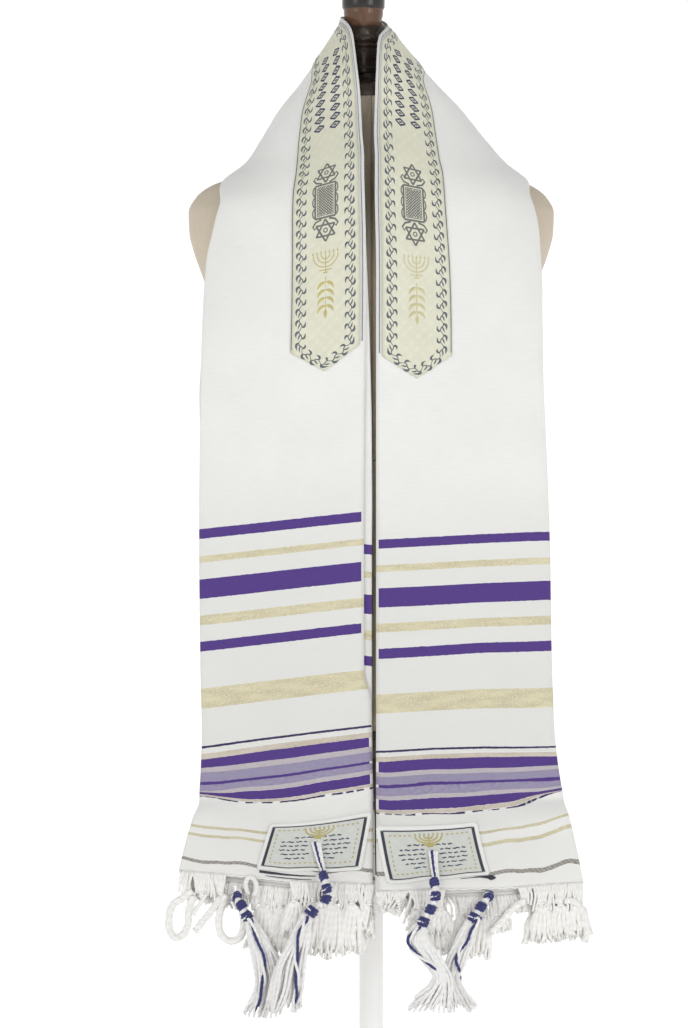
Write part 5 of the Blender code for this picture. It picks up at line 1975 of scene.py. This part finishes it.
def make_torso():
    drops, angle = torso_grid()
    drops = drops[:, None]
    knots = column(TORSO, "drop")
    half, front, back = (smooth_curve(knots, column(TORSO, name))(drops)
                         for name in ("half", "front", "back"))
    c, s = np.cos(angle), np.sin(angle)
    squared = 2 / TORSO_SQUARE
    inwards = 1 - seam_grooves(drops, angle, half) / half
    across = np.sign(c) * np.abs(c) ** squared * half * inwards
    depth = np.sign(s) * np.abs(s) ** squared * np.where(s > 0, back, front) * inwards
    points = np.stack([across, depth, REACH - drops + 0 * across], axis=-1)
    flat = np.stack([angle * ROUND + 0 * drops, 0 * angle + drops], axis=-1)
    rows, columns = across.shape
    rim = np.arange(columns - 1)
    caps = [rim.tolist(), (rim + (rows - 1) * columns).tolist()[::-1]]
    piece = add_mesh("linen_torso", points, grid_faces(rows, columns) + caps, flat, linen_finish)
    return keep(piece, "linen", "form_torso")


torso = make_torso()
print("torso faces:", len(torso.data.polygons))

# %% [markdown]
# The neck cap, finial and spigot are turned on a lathe from dark polished wood, so each is
# its half outline spun round: a Screw modifier does what the lathe does. The pole and the
# base are spun in the same way and finished in white enamel.

# %% Turned pieces
Turning = namedtuple("Turning", "radius height")
NECK_CAP = each(Turning, (46, 0), (47, 3), (46, 9), (40, 14), (26, 18), (17, 21), (14, 26))
FINIAL = each(Turning, (14, 0), (15, 2), (15, 5), (12.5, 8), (12.5, 12), (13.8, 17), (13.8, 22),
              (12.2, 26), (14.6, 28), (14.6, 30), (12.8, 32), (15, 34.5), (15, 37), (13.4, 39.5),
              (14, 45), (16, 48), (17.6, 51.5), (19.2, 57), (20.3, 63), (20.3, 66), (21.8, 68.5),
              (22, 76), (21.2, 86), (18, 92), (12, 97), (7, 101), (9, 107), (8, 114), (4, 119))
SPIGOT = each(Turning, (15, 0), (18, 6), (18, 24), (15, 34), (15, 118), (22, 130), (34, 140),
              (34, 152))
POLE_RADIUS = 12.5
BASE = each(Turning, (183, 0), (185, 2), (185, 8), (181, 11), (173, 12))
RED_BAND = 8.7
print("finial height:", FINIAL[-1].height)

# %% [markdown]
# The dark wood has fine grain that runs along the turned piece. The finial is black at the
# top, reddish where the polish is rubbed, and brown below, so the same finish has a band
# whose height can be chosen. Enamel is plain: white, with a little orange peel in its gloss.

# %% Wood and enamel
def make_wood(name, ring_at):
    """Dark polished wood, black above a band of red wood and brown below it."""
    wood = Finish(name, 0.28, Specular_IOR_Level=0.3, Coat_Weight=0.15, Coat_Roughness=0.12)
    x, y, z = wood.room_place()
    grain = wood.noise(x / 2.2, y / 2.2, z / 34, detail=4.0)
    rings = wood.noise(x / 7, y / 7, z / 60)
    ringed = z.near(ring_at, RED_BAND)
    figure = (grain * 0.8 + rings * 0.4 - 0.2).clear()
    black = wood.mix(figure, shade(20, 19, 19), shade(50, 45, 42))
    brown = wood.mix(figure, shade(40, 35, 31), shade(86, 71, 58))
    red = wood.mix(figure, shade(62, 41, 30), shade(118, 83, 60))
    dark = wood.mix(z < ring_at, black, brown)
    return wood.done(wood.mix(ringed, dark, red), grain, 0.12, roughness=0.34 - grain * 0.14)


def make_enamel():
    enamel = Finish("white_enamel", 0.3, Coat_Weight=0.4, Coat_Roughness=0.1)
    x, y, z = enamel.room_place()
    peel = enamel.noise(x / 3, y / 3, z / 3)
    dust = enamel.noise(x / 40, y / 40, z / 40)
    colour = enamel.mix(dust, shade(246, 246, 244), shade(253, 253, 251))
    return enamel.done(colour, peel, 0.06, roughness=0.26 + dust * 0.12)


wood = make_wood("dark_polished_wood", 500.0)
ringed_wood = make_wood("ringed_wood", 57.8)
enamel = make_enamel()
print("wood finish has", len(wood.node_tree.nodes), "nodes")

# %% Turn and stand the pieces
LATHE_STEPS = 72


def turn(name, profile, x, foot, rounded, material, slot, node):
    """A turned piece with its foot at a height; rounded smooths its outline."""
    outline = np.array(profile, dtype=float)
    run = distances(outline)
    if rounded:
        spots = np.linspace(0, run[-1], max(24, int(run[-1] / 1.4)))
        outline = np.stack([smooth_curve(run, outline[:, i])(spots) for i in (0, 1)], axis=1)
    outline = [(0.0, outline[-1, 1]), *outline[::-1], (0.0, outline[0, 1])]
    mesh = bpy.data.meshes.new(name)
    mesh.from_pydata([(r * MM, 0, h * MM) for r, h in outline],
                     [(i, i + 1) for i in range(len(outline) - 1)], [])
    mesh.materials.append(material)
    piece = bpy.data.objects.new(name, mesh)
    piece.location = Vector((x, 0, foot)) * MM
    bpy.context.scene.collection.objects.link(piece)
    lathe = piece.modifiers.new("lathe", "SCREW")
    lathe.steps = LATHE_STEPS
    lathe.render_steps = LATHE_STEPS
    lathe.use_merge_vertices = True
    lathe.merge_threshold = 0.00005
    lathe.use_normal_calculate = True
    soft = piece.modifiers.new("edges", "EDGE_SPLIT")
    soft.split_angle = math.radians(50)
    return keep(piece, slot, node)


cap_foot = REACH - TORSO[0].drop + SEAM
finial_foot = cap_foot + NECK_CAP[-1].height + SEAM
spigot_foot = REACH - TORSO[-1].drop - SEAM - SPIGOT[-1].height
pole_foot = BASE[-1].height + SEAM
POLE = each(Turning, (POLE_RADIUS, 0), (POLE_RADIUS, spigot_foot - SEAM - pole_foot))
turn("neck_cap", NECK_CAP, -3.0, cap_foot, True, wood, "dark_wood", "form_neck_cap")
turn("finial", FINIAL, -8.0, finial_foot, True, ringed_wood, "dark_wood", "form_finial")
turn("spigot", SPIGOT, 0, spigot_foot, True, wood, "dark_wood", "form_spigot")
turn("pole", POLE, 0, pole_foot, False, enamel, "white_enamel", "stand_pole")
turn("base_plate", BASE, 0, 0, False, enamel, "white_enamel", "stand_base")
print("spigot's foot is", round(spigot_foot, 1), "mm above the floor")

# %% [markdown]
